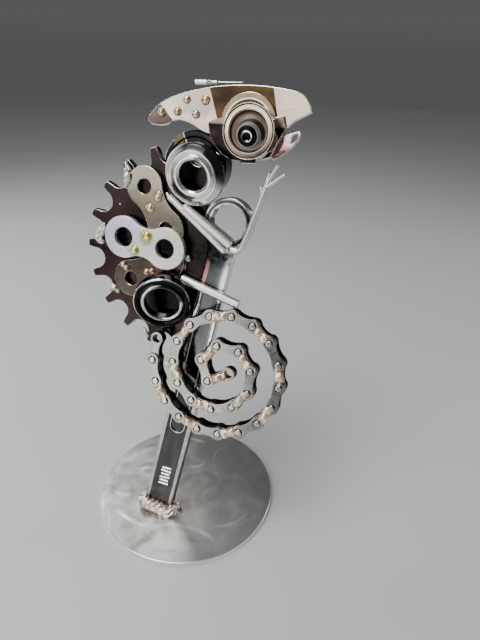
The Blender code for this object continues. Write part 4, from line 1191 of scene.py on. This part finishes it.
def cheek_steel():
    """Brown; painted dark reflection on lobes, painted shadow over the eye, painted highlight
    round it.
    """
    steel = flat_metal("cheek_steel", figure, (0.17, 0.13, 0.09), (0.30, 0.235, 0.17),
                       (0.14, 0.24), clouds=0.09)
    # Painted dark reflection on the lower lobes.
    lobe_reflection = steel.ramp(steel.noise(0.10, 2.0, shift=(3, 3, 1)),
                           [(0.4, (0.010, 0.008, 0.007)), (0.65, (0.028, 0.019, 0.016))])
    steel.paint(steel.less(steel.side(0, 1, CHEEK_DISC[1], 0.6)), lobe_reflection)
    above = steel.side(0, 1, 246.4, 0.5)
    # Painted shadow of the eye ring over the eye, then a painted highlight line round it.
    steel.paint(steel.both(steel.disc(*CHEEK_DISC, 11.9, 0.12), above), (0.055, 0.042, 0.026))
    steel.paint(steel.both(steel.ring(*CHEEK_DISC, 12.45, 11.9, 0.12), above),
                (0.88, 0.80, 0.64))
    steel.wear_and_sheen((0.92, 0.85, 0.74))
    return steel.done()


# %% Cheek plate with its arch
CHEEK_LEFT = ((22.5, 246.4), (21.8, 245.0), (23.2, 239.4), (25.9, 235.2), (30.5, 230.8))
CHEEK_FOOT = ((34.4, 229.1), (40.2, 228.5), (40.4, 227.4), (48.8, 227.8), (48.6, 229.0))
CHEEK_RIGHT = ((55.7, 231.4), (60.2, 241.2), (62.3, 245.2), (60.7, 250.9))
CHEEK_THICK = 1.7
CHEEK_LAYER = HEAD_LAYER + HEAD_THICK / 2 + GAP
arch = arc((43.0, 246.6), 14.2, math.radians(14), math.radians(172), 40)
cheek = plate([[*arch, *CHEEK_LEFT, *CHEEK_FOOT, *CHEEK_RIGHT]], CHEEK_THICK, edge=0.45,
              steps=3)
piece("cheek_plate_formed", cheek, figure_mm @ shift(0, 0, CHEEK_LAYER + CHEEK_THICK / 2),
      cheek_steel(), "polished_steel", "cheek_plate")

# %% [markdown]
# The turret eye is a stack of turned parts. The ring has two bright lips with painted shade in
# the groove between them, and the cone tips down a little with the black pupil on its end.


# %% Finish of the eye rings
def eye_ring():
    """Warm chrome; tan band; painted shade, brown in the bore and dark between the lips; shaded
    low side.
    """
    steel = flat_metal("eye_ring_steel", figure, (0.66, 0.57, 0.46), (0.84, 0.75, 0.62),
                       (0.08, 0.16), clouds=0.1)
    on_front = steel.range(steel.z, 11.0, 11.6)
    steel.paint(steel.both(steel.ring(*EYE, 12.0, 10.7, 0.15, 0.6), on_front),
                (0.50, 0.40, 0.29), 0.8)
    # Painted shade on the bore's wall and inner edge.
    bore_shade = steel.both(steel.disc(*EYE, 9.5, 0.15), steel.range(steel.z, 2.0, 3.0))
    steel.paint(bore_shade, (0.10, 0.068, 0.048))
    # Painted shade in the notch between the two lips.
    steel.paint(steel.both(steel.ring(*EYE, 12.4, 11.95, 0.08), on_front),
                (0.035, 0.024, 0.018))
    low_side = steel.both(steel.side(0.1, -1, -237.5, 5.0), on_front,
                          steel.disc(*EYE, 12.35, 0.1))
    steel.paint(low_side, (0.10, 0.062, 0.052), 0.75)
    return steel.done()


eye_ring_steel = eye_ring()


# %% Finish of the eye cones
def eye_cone():
    """Matt brown iris with a dark wedge, and a light ring round the pupil."""
    steel = flat_metal("eye_cone_steel", figure, (0.21, 0.15, 0.115), (0.30, 0.215, 0.165),
                       (0.46, 0.58), metallic=0.55)
    steel.paint(steel.side(0.2, 1, 257.5, 2.0), (0.15, 0.125, 0.075), 0.7)
    wedge = steel.both(steel.disc(47.4, 241.2, 6.9, 0.2), steel.side(0.3, 1, 254.6, 1.0))
    steel.paint(wedge, (0.020, 0.013, 0.012))
    round_pupil = steel.disc(46.3, 240.2, 6.25, 0.15)
    steel.paint(round_pupil, (0.50, 0.47, 0.43))
    steel.paint(steel.both(round_pupil, steel.side(0, 1, 243.0, 1.5)), (0.20, 0.17, 0.18), 0.7)
    return steel.done()


eye_cone_steel = eye_cone()

# %% Turn the near eye
EYE_LAYER = CHEEK_LAYER + CHEEK_THICK + GAP
eye = figure_mm @ shift(*EYE, EYE_LAYER)
EYE_RADIUS, EYE_BORE = 12.8, 9.0
lip = turned([(EYE_RADIUS, 9.8), (EYE_RADIUS, 0), (EYE_BORE, 0), (EYE_BORE, 7.6), (9.35, 9.0),
              (9.7, 9.6), (10.2, 9.7), (11.9, 9.7), (12.0, 8.7), (12.3, 8.7), (12.4, 9.9),
              (12.5, 10.0), (12.7, 10.0)], rounding=0.12)
piece("eye_ring_near_turned", lip, eye, eye_ring_steel, "polished_steel", "eye_ring_near")
TURRET_TIP, FOOT_HEIGHT = 14, 2.7
tip = math.radians(TURRET_TIP)
narrowest = EYE_BORE * math.cos(math.pi / 20)
turret_foot = (narrowest - GAP - FOOT_HEIGHT * math.sin(tip)) / math.cos(tip)
turret_turn = shift(0, 0, turret_foot * math.sin(tip)) @ tilt(TURRET_TIP)
cone_profile = [(0, 8.6), (4.9, 8.6), (4.9, 9.0), (5.2, 9.0), (5.6, 8.4), (6.0, 4.6),
                (turret_foot - 0.2, 2.9), (turret_foot, 2.6), (turret_foot, 0), (0, 0)]
cone = turned(cone_profile, rounding=0.25, closed=False)
print("foot of the turret in mm:", round(turret_foot, 2))

# %% [markdown]
# Between the ring and the cone the real eye has a brown dish. Its two rims don't share an axis,
# so it is lofted: each row of points lies between the level outer rim and the tipped inner one.

# %% Loft the dish of the eye
DISH_ROWS, DISH_STEPS = 9, 96
wide_rim, narrow_rim, mouth = (circle((0, 0), radius, DISH_STEPS)
                               for radius in (EYE_BORE, 6.1, 5.2))
shape = bmesh.new()
rows = []
for k in range(DISH_ROWS):
    t = k / (DISH_ROWS - 1)
    row = []
    for (x, y), (narrow_x, narrow_y) in zip(wide_rim, narrow_rim):
        spot = Vector((x, y, 7.7)).lerp(turret_turn @ Vector((narrow_x, narrow_y, 7.0)), t)
        spot.z -= 0.25 * math.sin(math.pi * t)
        row.append(shape.verts.new(spot))
    rows.append(row)
rows.append([shape.verts.new(turret_turn @ Vector((x, y, 8.7))) for x, y in mouth])
rows.append([shape.verts.new(vertex.co - Vector((0, 0, 1.2))) for vertex in rows[-1]])
rows.append([shape.verts.new((x, y, 5.6)) for x, y in wide_rim])
skin(shape, rows)
dish = mesh_from(shape, "dish")
piece("eye_cone_near_turned", together(at(cone, turret_turn), dish), eye, eye_cone_steel,
      "polished_steel", "eye_cone_near")


# %% Pupil
def pupil_steel():
    """Black, with a thin ring that has a painted highlight on one side."""
    steel = flat_metal("pupil_steel", figure, (0.004, 0.004, 0.005), (0.012, 0.012, 0.013),
                       (0.08, 0.16), scratch=0.001, clouds=0.2)
    thin_ring = steel.ring(46.2, 239.8, 2.7, 1.8, 0.15)
    steel.paint(thin_ring, (0.40, 0.40, 0.42), 0.35)
    # Painted highlight on one side of the thin ring.
    crescent_highlight = steel.past((46.0, 239.8), (1.0, 0.6), 1.4)
    steel.paint(steel.both(thin_ring, crescent_highlight), (0.95, 0.95, 0.93))
    return steel.done()


pupil = turned([(0, 0.5), (1.25, 0.5), (1.5, 0.9), (2.2, 1.5), (2.9, 1.6), (3.4, 1.2),
                (4.0, 1.25), (4.6, 1.0), (4.75, 0.4), (4.75, 0), (0, 0)],
               rounding=0.25, steps=64, closed=False)
piece("eye_pupil_near_turned", pupil, eye @ turret_turn @ shift(0, 0, 8.9), pupil_steel(),
      "black_steel", "eye_pupil_near")

# %% Turn the far eye
far_eye = figure_mm @ shift(*EYE, HEAD_LAYER - HEAD_THICK / 2 - GAP) @ spin(180, "Y")
lip = turned([(EYE_RADIUS, 9.7), (EYE_RADIUS, 0), (EYE_BORE, 0), (EYE_BORE, 9.2), (10.1, 10.0),
              (12.5, 10.0)], rounding=0.25)
piece("eye_ring_far_turned", lip, far_eye, eye_ring_steel, "polished_steel", "eye_ring_far")
cone = turned(cone_profile, rounding=0.25, closed=False)
piece("eye_cone_far_turned", cone, far_eye, eye_cone_steel, "polished_steel", "eye_cone_far")

# %% [markdown]
# ## Jaw and crest pin
# The jaw is a chromed scrap with a hollow slot near its tip. On the head's top edge lies a
# small stepped pin that ends in a wire.


# %% Jaw
def jaw_chrome():
    """Pinkish chrome, redder below, with painted shade round the slot."""
    steel = flat_metal("jaw_chrome", figure, (0.60, 0.46, 0.43), (0.82, 0.70, 0.66),
                       (0.06, 0.14), along=(0.3, 1, 1), clouds=0.1, wear_and_sheen=(0.98, 0.97, 0.95))
    steel.paint(steel.side(-1, -1, -301.5, 2.0), (0.74, 0.36, 0.33), 0.8)
    # Painted shade in and round the slot.
    steel.paint(steel.disc(66.6, 241.2, 2.0, 0.5), (0.10, 0.10, 0.10), 0.8)
    return steel.done()


JAW = ((62.3, 242.5), (68.7, 244.5), (69.6, 243.7), (68.7, 240.0), (64.7, 235.6),
       (60.0, 232.0), (56.8, 230.1))
JAW_SLOT = ((64.6, 238.6), (65.4, 238.5), (67.6, 241.2), (68.0, 242.9), (67.2, 243.0),
            (65.8, 241.2))
hinge = arc(EYE, 12.9, math.radians(-48), math.radians(-4), 16)
jaw = plate([[*JAW, *hinge], JAW_SLOT], HEAD_THICK)
piece("jaw_plate", jaw, figure_mm @ shift(0, 0, HEAD_LAYER), jaw_chrome(), "chrome", "jaw")

# %% Crest pin
bright = flat_metal("bright_chrome", figure, (0.60, 0.60, 0.59), (0.84, 0.84, 0.82),
                    (0.08, 0.2)).done()
pin_start, pin_end = Vector((12.8, 264.6, HEAD_LAYER)), Vector((37.6, 265.1, HEAD_LAYER))
pin_turn = (pin_end - pin_start).to_track_quat("Z", "Y").to_matrix().to_4x4()
crest_pin = turned([(0, 0), (1.25, 0), (1.25, 6.2), (0.8, 6.6), (0.95, 7.2), (1.15, 8.0),
                    (0.85, 9.0), (0.95, 11.6), (0.45, 12.2), (0.22, 25), (0, 25)],
                   rounding=0.12, steps=32, closed=False)
piece("crest_pin_turned", crest_pin, figure_mm @ shift(*pin_start) @ pin_turn, bright,
      "chrome", "crest_pin")

# %% [markdown]
# ## Arms and leg
# Round bars make the limbs. Their ends are sawn square with a small chamfer. The forearm is a
# bar bent up at the wrist and split into fingers that are joined with a boolean.

# %% Limb finish
limb_finish = flat_metal("limb_chrome", figure, (0.78, 0.78, 0.74), (0.95, 0.95, 0.90),
                         (0.18, 0.30), scratch=0.003, along=(0.15, 0.15, 1), clouds=0.10,
                         metallic=0.78)
# Painted dark reflection on the flanks of the bars.
limb_finish.paint(limb_finish.turned_away(0.12, 0.50), (0.17, 0.17, 0.16), 0.60)
limb_chrome = limb_finish.done()

# %% Rods
LEG_RADIUS = 2.5
LEG_LAYER = SHANK_THICK / 2 + GAP + LEG_RADIUS
FAR_ARM_LAYER = -RING_THICK / 2 - GAP - UPPER_ROD_RADIUS
for name, ends, radius, layer in (
        ("arm_rod_near_lower", ((3.2, 208.0), (36.5, 182.2)), 2.05, LOWER_ROD_LAYER),
        ("arm_rod_near_upper", ((13.0, 204.0), (40.2, 186.1)), 2.35, UPPER_ROD_LAYER - 0.1),
        ("arm_rod_far", ((21.9, 194.6), (36.2, 185.3)), UPPER_ROD_RADIUS, FAR_ARM_LAYER),
        ("leg_rod", ((12.2, 164.2), (46.4, 153.8)), LEG_RADIUS, LEG_LAYER)):
    rod = bar([(*end, layer) for end in ends], [radius, radius], end=0.35, resolution=10)
    piece(name + "_bar", rod, figure_mm, limb_chrome, "chrome", name)


# %% Forearms
def tapered(points, pieces, radius, taper, end, resolution):
    """A bar along a soft line through flat points, thinning towards its tip."""
    line = soft_line([(x, y, 0) for x, y in points], pieces)
    sizes = [radius - taper * i / (len(line) - 1) for i in range(len(line))]
    return bar(line, sizes, end, resolution)


STRIP = ((40.3, 184.2), (43.2, 183.8), (45.0, 184.5), (46.6, 186.7), (48.0, 190.5),
         (51.3, 200.6), (54.6, 210.9), (56.6, 217.4))
FINGERS = (((56.2, 216.0), (58.2, 221.8), (61.3, 228.0)),
           ((56.6, 217.2), (61.2, 221.0), (65.5, 224.3)),
           ((56.0, 216.5), (57.1, 221.5), (57.5, 224.0)),
           ((55.8, 214.0), (54.3, 214.8), (53.6, 217.2)))
for name, move, layer in (("forearm_near", 0.0, UPPER_ROD_LAYER),
                          ("forearm_far", -3.0, FAR_ARM_LAYER)):
    strip = tapered(STRIP, 5, radius=1.85, taper=0.3, end=0.3, resolution=6)
    fingers = [tapered(points, 4, radius=1.04, taper=0.24, end=0.2, resolution=3)
               for points in FINGERS]
    arm = combined(strip, fingers, "UNION")
    piece(name + "_bent", arm, figure_mm @ shift(move, 0, layer), limb_chrome, "chrome", name)

# %% [markdown]
# ## Tail
# The tail is roller chain wound into a spiral. The pins lie one chain pitch apart on the
# spiral, so its points are found by stepping along it. Geometry Nodes then puts an inner link on
# every odd span and an outer link on every even one, each turned from its pin to the next.

# %% Spiral of the tail
COIL_CENTRE, COIL_START = (41.9, -32.8), 164.1
HALF_TURN_RADII = (42.9, 33.6, 30.4, 17.8, 13.3, 3.8)
around = (HALF_TURN_RADII[0], *HALF_TURN_RADII, HALF_TURN_RADII[-1])


def coil_point(turned_by):
    """Point of the spiral after a turn, its radius eased between the half turns."""
    share = min(max(turned_by / math.pi, 0.0), len(HALF_TURN_RADII) - 1.001)
    half_turn = int(share)
    radius = eased(*around[half_turn:half_turn + 4], share - half_turn)
    return Vector(polar(COIL_CENTRE, radius, math.radians(COIL_START) + turned_by))


print("spiral's ends in mm:", [[round(c, 1) for c in coil_point(half_turns * math.pi)]
                               for half_turns in (0, len(HALF_TURN_RADII) - 1)])

# %% Pins along the spiral
CHAIN_PITCH, LINKS = 12.7, 29
WIDEST_STEP, HALVINGS = 2.2, 40
pins = [coil_point(0.0)]
turned_by = 0.0
for _ in range(LINKS):
    low, high = turned_by, turned_by + WIDEST_STEP
    for _ in range(HALVINGS):
        half = (low + high) / 2
        if (coil_point(half) - pins[-1]).length < CHAIN_PITCH:
            low = half
        else:
            high = half
    turned_by = low
    pins.append(coil_point(turned_by))
print("chain pins:", len(pins))


# %% Chain finishes
def chain_steel():
    """Grey faces, with painted shade at the lower right, on the flanks and between the plates.
    """
    steel = flat_metal("chain_steel", tail_mm, (0.30, 0.285, 0.26), (0.50, 0.48, 0.445),
                       (0.20, 0.32), along=(0.5, 0.5, 1), clouds=0.07,
                       wear_and_sheen=(0.80, 0.76, 0.69))
    # Painted shade towards the right and the bottom of the coil.
    steel.paint(steel.side(1, 0, 66, 12.0), (0.15, 0.148, 0.135), 0.60)
    steel.paint(steel.side(0, -1, 62, 9.0), (0.15, 0.148, 0.135), 0.30)
    # Painted shade on the flanks of the plates.
    steel.paint(steel.turned_away(0.20, 0.45), (0.05, 0.045, 0.042), 0.9)
    # Painted shadow on the rollers and the back plates between the faces.
    between = steel.both(steel.range(steel.z, 1.5, 1.0), steel.range(steel.z, -3.9, -3.4))
    steel.paint(between, (0.016, 0.015, 0.016))
    return steel.done()


pin_finish = flat_metal("chain_pin_steel", tail_mm, (0.50, 0.45, 0.39), (0.80, 0.75, 0.68),
                        (0.16, 0.28), scratch=0.003, clouds=0.14)
# Painted shade on the shanks of the pins and the rims of their heads.
pin_side_shade = pin_finish.range(pin_finish.math("ABSOLUTE", pin_finish.z), 4.60, 4.40)
pin_finish.paint(pin_side_shade, (0.08, 0.07, 0.06))
link_steel, pin_steel = chain_steel(), pin_finish.done()


# %% One inner link, one outer link and one pin
def chain_plates(low, high, hole, waist):
    """A plate in front, between two heights, and the same plate behind."""
    outlines = [link_outline(CHAIN_PITCH, 3.8, waist, end_steps=14, waist_steps=7)]
    outlines += [circle((x, 0), hole, 20) for x in (0, CHAIN_PITCH)]
    return [at(plate(outlines, high - low, edge=0.18, steps=1),
               shift(0, 0, face * (low + high) / 2)) for face in (1, -1)]


rollers = [at(turned([(2.5, -1.6), (3.4, -1.6), (3.4, 1.6), (2.5, 1.6)], 0.1, steps=24),
              shift(x, 0)) for x in (0, CHAIN_PITCH)]
inner_link = together(*chain_plates(1.65, 2.75, hole=2.5, waist=2.45), *rollers)
outer_link = together(*chain_plates(3.05, 4.15, hole=2.35, waist=2.55))
pin_shape = turned([(0, 4.75), (1.2, 4.75), (1.6, 4.68), (1.9, 4.4), (2.05, 4.1), (2.0, -4.0),
                    (1.95, -4.6), (1.3, -4.75), (0, -4.75)],
                   rounding=0.12, steps=24, closed=False)
print("faces of an inner link:", len(inner_link.polygons))

# %% Wind the chain
SAME_SIZE, LEVEL = (1, 1, 1), (0, 0, 0)
spans = [(start, end - start) for start, end in zip(pins, pins[1:])]
for name, shape, parity in (("tail_inner_links", inner_link, 0),
                            ("tail_outer_links", outer_link, 1)):
    spots = [((*start, 0), SAME_SIZE, (0, 0, math.atan2(step.y, step.x)))
             for start, step in spans[parity::2]]
    nodes = [f"tail_link_{number:02d}" for number in range(parity + 1, LINKS + 1, 2)]
    piece(name, scattered(shape, spots, link_steel), tail_mm, link_steel, "chain_steel", *nodes)
pin_spots = [((*point, 0), SAME_SIZE, (0, 0, 0.7 * i)) for i, point in enumerate(pins[1:-1])]
piece("tail_pins", scattered(pin_shape, pin_spots, pin_steel), tail_mm, pin_steel,
      "chain_steel")


# %% [markdown]
# ## Welds
# Small welds hold the figure together. A drop of weld metal is a ball that sagged before it
# froze, so each is a sphere pushed about by noise. Geometry Nodes puts the drops on their
# points, with a seeded turn and size so that no two look alike.

# %% Finish of the weld fill
fill_finish = Finish("weld_fill", tail_mm, 0.70)
fill_finish.tones(0.22, [(0.35, (0.52, 0.27, 0.15)), (0.65, (0.72, 0.42, 0.28))], detail=3.0)
# Painted highlight and shade by height: cream-gold on the crowns, copper-brown lower down.
height = fill_finish.math("ADD", fill_finish.z, fill_finish.noise(0.4, 3.0))
fill_finish.paint(fill_finish.range(height, 4.2, 5.3), (1.0, 0.86, 0.64))
fill_finish.rough(0.14, 0.28, 0.5)
fill_finish.relief(fill_finish.noise(0.9, 2.0), 0.04, 0.6)
weld_fill = fill_finish.done()


# %% Weld fill of the inner links
def saddle(seed):
    """A saddle of weld metal: wide at both plates and narrow between them."""
    shape = bmesh.new()
    bmesh.ops.create_icosphere(shape, subdivisions=4, radius=1.0)
    for vertex in shape.verts:
        x, y, z = vertex.co
        push = noise.noise(vertex.co * 1.4 + Vector((seed, 0, 0)))
        waist = 0.74 + 0.40 * min(abs(x), 0.7)
        flat = math.copysign(abs(z) ** 0.55, z)
        wave = 0.86 + 0.16 * math.cos(6.4 * x + seed) + 0.22 * push
        vertex.co = Vector((x * (1 + 0.08 * push), y * waist * (1 + 0.22 * push),
                            flat * (wave if z > 0 else 1.0)))
    return mesh_from(shape, "saddle", outwards=False)


FILL_UP, FILL_SIZE = 2.85, (5.8, 3.3, 2.15)
fill_meshes = []
for kind, seed in enumerate((3.0, 7.4, 12.8)):
    spots = [((*(start + step * 0.5), FILL_UP), FILL_SIZE, (0, 0, math.atan2(step.y, step.x)))
             for i, (start, step) in enumerate(spans[::2]) if i > 0 and i % 3 == kind]
    fill_meshes.append(scattered(saddle(seed), spots, weld_fill, spread=0.06, tumble=0.2,
                                 seed=kind + 4))
piece("tail_weld_fill", together(*fill_meshes), tail_mm, weld_fill, "weld_metal", angle=80)

# %% Weld dots on the head and the plates
HEAD_DOTS = ((-4.7, 249.6), (4.3, 250.2), (9.1, 256.1), (14.4, 249.3), (19.2, 256.3))
PLATE_DOTS = ((-2.6, 208.6, 2.0), (-3.4, 206.3, 2.3), (-8.0, 200.6, 2.6), (-24.2, 167.2, 2.2),
              (-22.2, 165.4, 1.8), (-9.2, 164.7, 2.2), (-5.9, 166.0, 1.9))
ANY_TURN = 6.0
HEAD_DOT_LAYER, PLATE_DOT_LAYER, GOLD_LAYER = 0.55, 5.9, 9.4
dots = [((x, y, HEAD_DOT_LAYER), (2.35, 2.3, 1.9), LEVEL) for x, y in HEAD_DOTS]
dots += [((x, y, PLATE_DOT_LAYER), (size, size, 1.9), LEVEL) for x, y, size in PLATE_DOTS]
dots += [((38.8, 183.2, 8.0), (1.5, 1.3, 1.2), (0, 0, 0.4)),
         ((35.9, 181.9, 5.8), (1.2, 1.1, 1.0), LEVEL),
         ((-28.4, 200.5, 2.4), (0.6, 0.6, 0.4), LEVEL)]
gold_dots = [((-7.8, 185.8, GOLD_LAYER), (3.2, 3.1, 2.0), LEVEL),
             ((-15.3, 177.1, GOLD_LAYER), (2.7, 2.6, 1.8), LEVEL)]
bronze_mesh = scattered(lumpy(8.0, 0.14), dots, weld_bronze, 0.06, ANY_TURN, seed=7)
piece("weld_dots_bronze", bronze_mesh, figure_mm, weld_bronze, "weld_metal", angle=80)
gold_mesh = scattered(lumpy(5.0, 0.16), gold_dots, weld_gold, 0.05, ANY_TURN, seed=2)
piece("weld_dots_gold", gold_mesh, figure_mm, weld_gold, "weld_metal", angle=80)

# %% Weld seams between the parts
SEAMS = (
    (((-24.2, 223.4, 3.6), (-22.4, 221.2, 5.0), (-20.4, 219.2, 5.9)), (0.6, 1.0, 1.2)),
    (((-22.8, 219.2, 5.4), (-21.8, 217.2, 5.9), (-21.6, 214.6, 6.0), (-22.2, 212.0, 5.8),
      (-22.6, 209.8, 5.6)), (1.2, 2.0, 2.1, 1.4, 0.7)),
    (((-41.8, 179.2, 6.0), (-40.0, 182.2, 6.8), (-37.8, 186.2, 7.0), (-35.4, 189.4, 6.8)),
     (0.8, 1.6, 1.5, 0.7)),
    (((-41.2, 179.6, 6.0), (-38.8, 179.0, 6.8), (-36.0, 178.8, 7.0)), (0.8, 1.6, 1.2)),
    (((-39.6, 180.8, 6.4), (-37.4, 184.0, 6.8), (-34.8, 187.4, 6.8)), (1.6, 2.1, 1.5)),
    (((-33.8, 154.4, 4.0), (-31.6, 152.4, 4.4), (-28.6, 150.2, 4.2)), (0.8, 1.8, 1.3)),
    (((-31.8, 152.0, 3.6), (-34.0, 150.4, 3.2), (-36.2, 148.8, 2.6)), (1.1, 0.9, 0.5)),
    (((1.6, 209.6, 5.8), (3.2, 207.4, 6.4), (4.4, 205.4, 6.2)), (0.6, 1.0, 0.6)),
    (((12.4, 175.4, 3.0), (12.6, 172.2, 3.2), (12.8, 168.4, 3.0)), (0.6, 0.8, 0.5)),
    (((-9.2, 132.4, 9.6), (-7.4, 130.6, 10.4), (-5.4, 127.6, 10.2)), (0.5, 1.0, 0.6)),
    (((5.4, 114.2, 10.4), (7.6, 112.0, 11.0), (9.6, 110.0, 10.4)), (0.6, 1.2, 0.7)))
LUGS = ((1.4, (-22.4, 219.0, 6.2)), (1.9, (-21.4, 216.2, 6.5)), (1.6, (-22.0, 213.2, 6.3)),
        (1.1, (-22.6, 210.6, 5.9)), (1.8, (-39.8, 181.2, 7.3)), (1.9, (-37.8, 185.0, 7.5)),
        (1.6, (-38.0, 179.6, 7.2)), (1.7, (-31.0, 152.2, 4.9)), (1.3, (-28.6, 150.4, 4.7)))
THINNEST = 0.35
seams = []
for points, sizes in SEAMS:
    path = soft_line(points, 4)
    widths = [max(width, THINNEST) for width, _ in soft_line([(size, 0) for size in sizes], 4)]
    uneven = [width * (1 + 0.12 * noise.noise(Vector(spot) * 0.9))
              for width, spot in zip(widths, path)]
    seams.append(bar(path, uneven, end=0.2, resolution=5))
lugs = [((14.3, 175.1, 4.0), (1.9, 1.7, 1.5), LEVEL)]
lugs += [(spot, (size, size, size), LEVEL) for size, spot in LUGS]
seams.append(scattered(lumpy(1.0, 0.3), lugs, weld_pale, 0.08, ANY_TURN, seed=3))
piece("weld_lugs", together(*seams), figure_mm, weld_pale, "weld_metal", angle=80)

# %% [markdown]
# ## Studio
# The picture needs a pale floor, soft light from large panels, and the photograph's view.
# Chrome shows what stands round it, so the world is a quiet grey and the panels are large.

# %% Floor
bpy.ops.mesh.primitive_plane_add(size=6.0)
floor = bpy.context.object
floor.name = "studio_floor"
pale = bpy.data.materials.new("pale_floor")
pale.use_nodes = True
floor_shader = pale.node_tree.nodes["Principled BSDF"]
floor_shader.inputs["Base Color"].default_value = (0.62, 0.62, 0.62, 1)
floor_shader.inputs["Roughness"].default_value = 0.7
floor.data.materials.append(pale)
print("floor is", floor.dimensions.x, "m wide")

# %% World
GREYS = ((0.0, 0.088), (0.05, 0.10), (0.20, 0.08), (0.50, 0.07), (0.95, 0.20))
world = bpy.data.worlds.new("studio")
bpy.context.scene.world = world
world.use_nodes = True
sky = world.node_tree
direction = sky.nodes.new("ShaderNodeTexCoord")
rise = sky.nodes.new("ShaderNodeSeparateXYZ")
fade = sky.nodes.new("ShaderNodeValToRGB")
set_stops(fade.color_ramp, [(up, (grey, grey, grey * 1.02)) for up, grey in GREYS])
sky.links.new(direction.outputs["Generated"], rise.inputs[0])
sky.links.new(rise.outputs["Z"], fade.inputs[0])
sky.links.new(fade.outputs["Color"], sky.nodes["Background"].inputs["Color"])
print("greys of the world:", len(GREYS))


# %% Light panels
def panel(name, place, size, power, aim=(0.0, 0.0, 0.13)):
    light = bpy.data.lights.new(name, "AREA")
    light.shape = "RECTANGLE"
    light.size, light.size_y = size
    light.energy = power
    item = new_item(name, light)
    item.location = place
    item.rotation_euler = (Vector(aim) - Vector(place)).to_track_quat("-Z", "Y").to_euler()
    print(f"{name}: {power} W")


panel("key_panel", (-0.30, -0.85, 0.80), (0.80, 0.80), 4.4)
panel("plate_panel", (-0.42, -0.72, 0.34), (0.45, 0.26), 0.60, (0.0, 0.0, 0.17))
panel("tail_panel", (-0.13, -0.31, 0.085), (0.20, 0.15), 0.16, (0.0, 0.0, 0.10))
panel("top_panel", (-0.25, -0.35, 1.25), (0.55, 0.55), 9.0)
panel("disc_panel", (-0.50, 0.34, 0.70), (0.50, 0.36), 1.7, (-0.02, -0.02, 0.0))
panel("left_panel", (-0.85, 0.10, 0.40), (0.20, 0.60), 2.0)
panel("right_panel", (0.72, 0.50, 0.40), (0.15, 0.60), 1.2)

# %% [markdown]
# The camera stands where the photograph was taken: a little to the right, looking down.

# %% Camera
CAMERA_AT = (0.1047, -0.2221, 0.276)
yaw, down, roll = math.radians(17), math.radians(29.15), math.radians(1.2)
forward = Vector((-math.sin(yaw) * math.cos(down), math.cos(yaw) * math.cos(down),
                  -math.sin(down)))
right = Vector((math.cos(yaw), math.sin(yaw), 0))
up = right.cross(forward)
right, up = (right * math.cos(roll) + up * math.sin(roll),
             up * math.cos(roll) - right * math.sin(roll))
turn = Matrix((right, up, -forward)).transposed().to_4x4()
lens = bpy.data.cameras.new("camera")
lens.sensor_fit = "VERTICAL"
lens.sensor_height = 36.0
lens.lens = 27.0
lens.clip_start, lens.clip_end = 0.01, 20.0
camera = new_item("camera", lens)
camera.matrix_world = shift(*CAMERA_AT) @ turn
bpy.context.scene.camera = camera
print("camera is", round(1000 * CAMERA_AT[2]), "mm above the floor")

# %% Finish
bpy.context.view_layer.update()
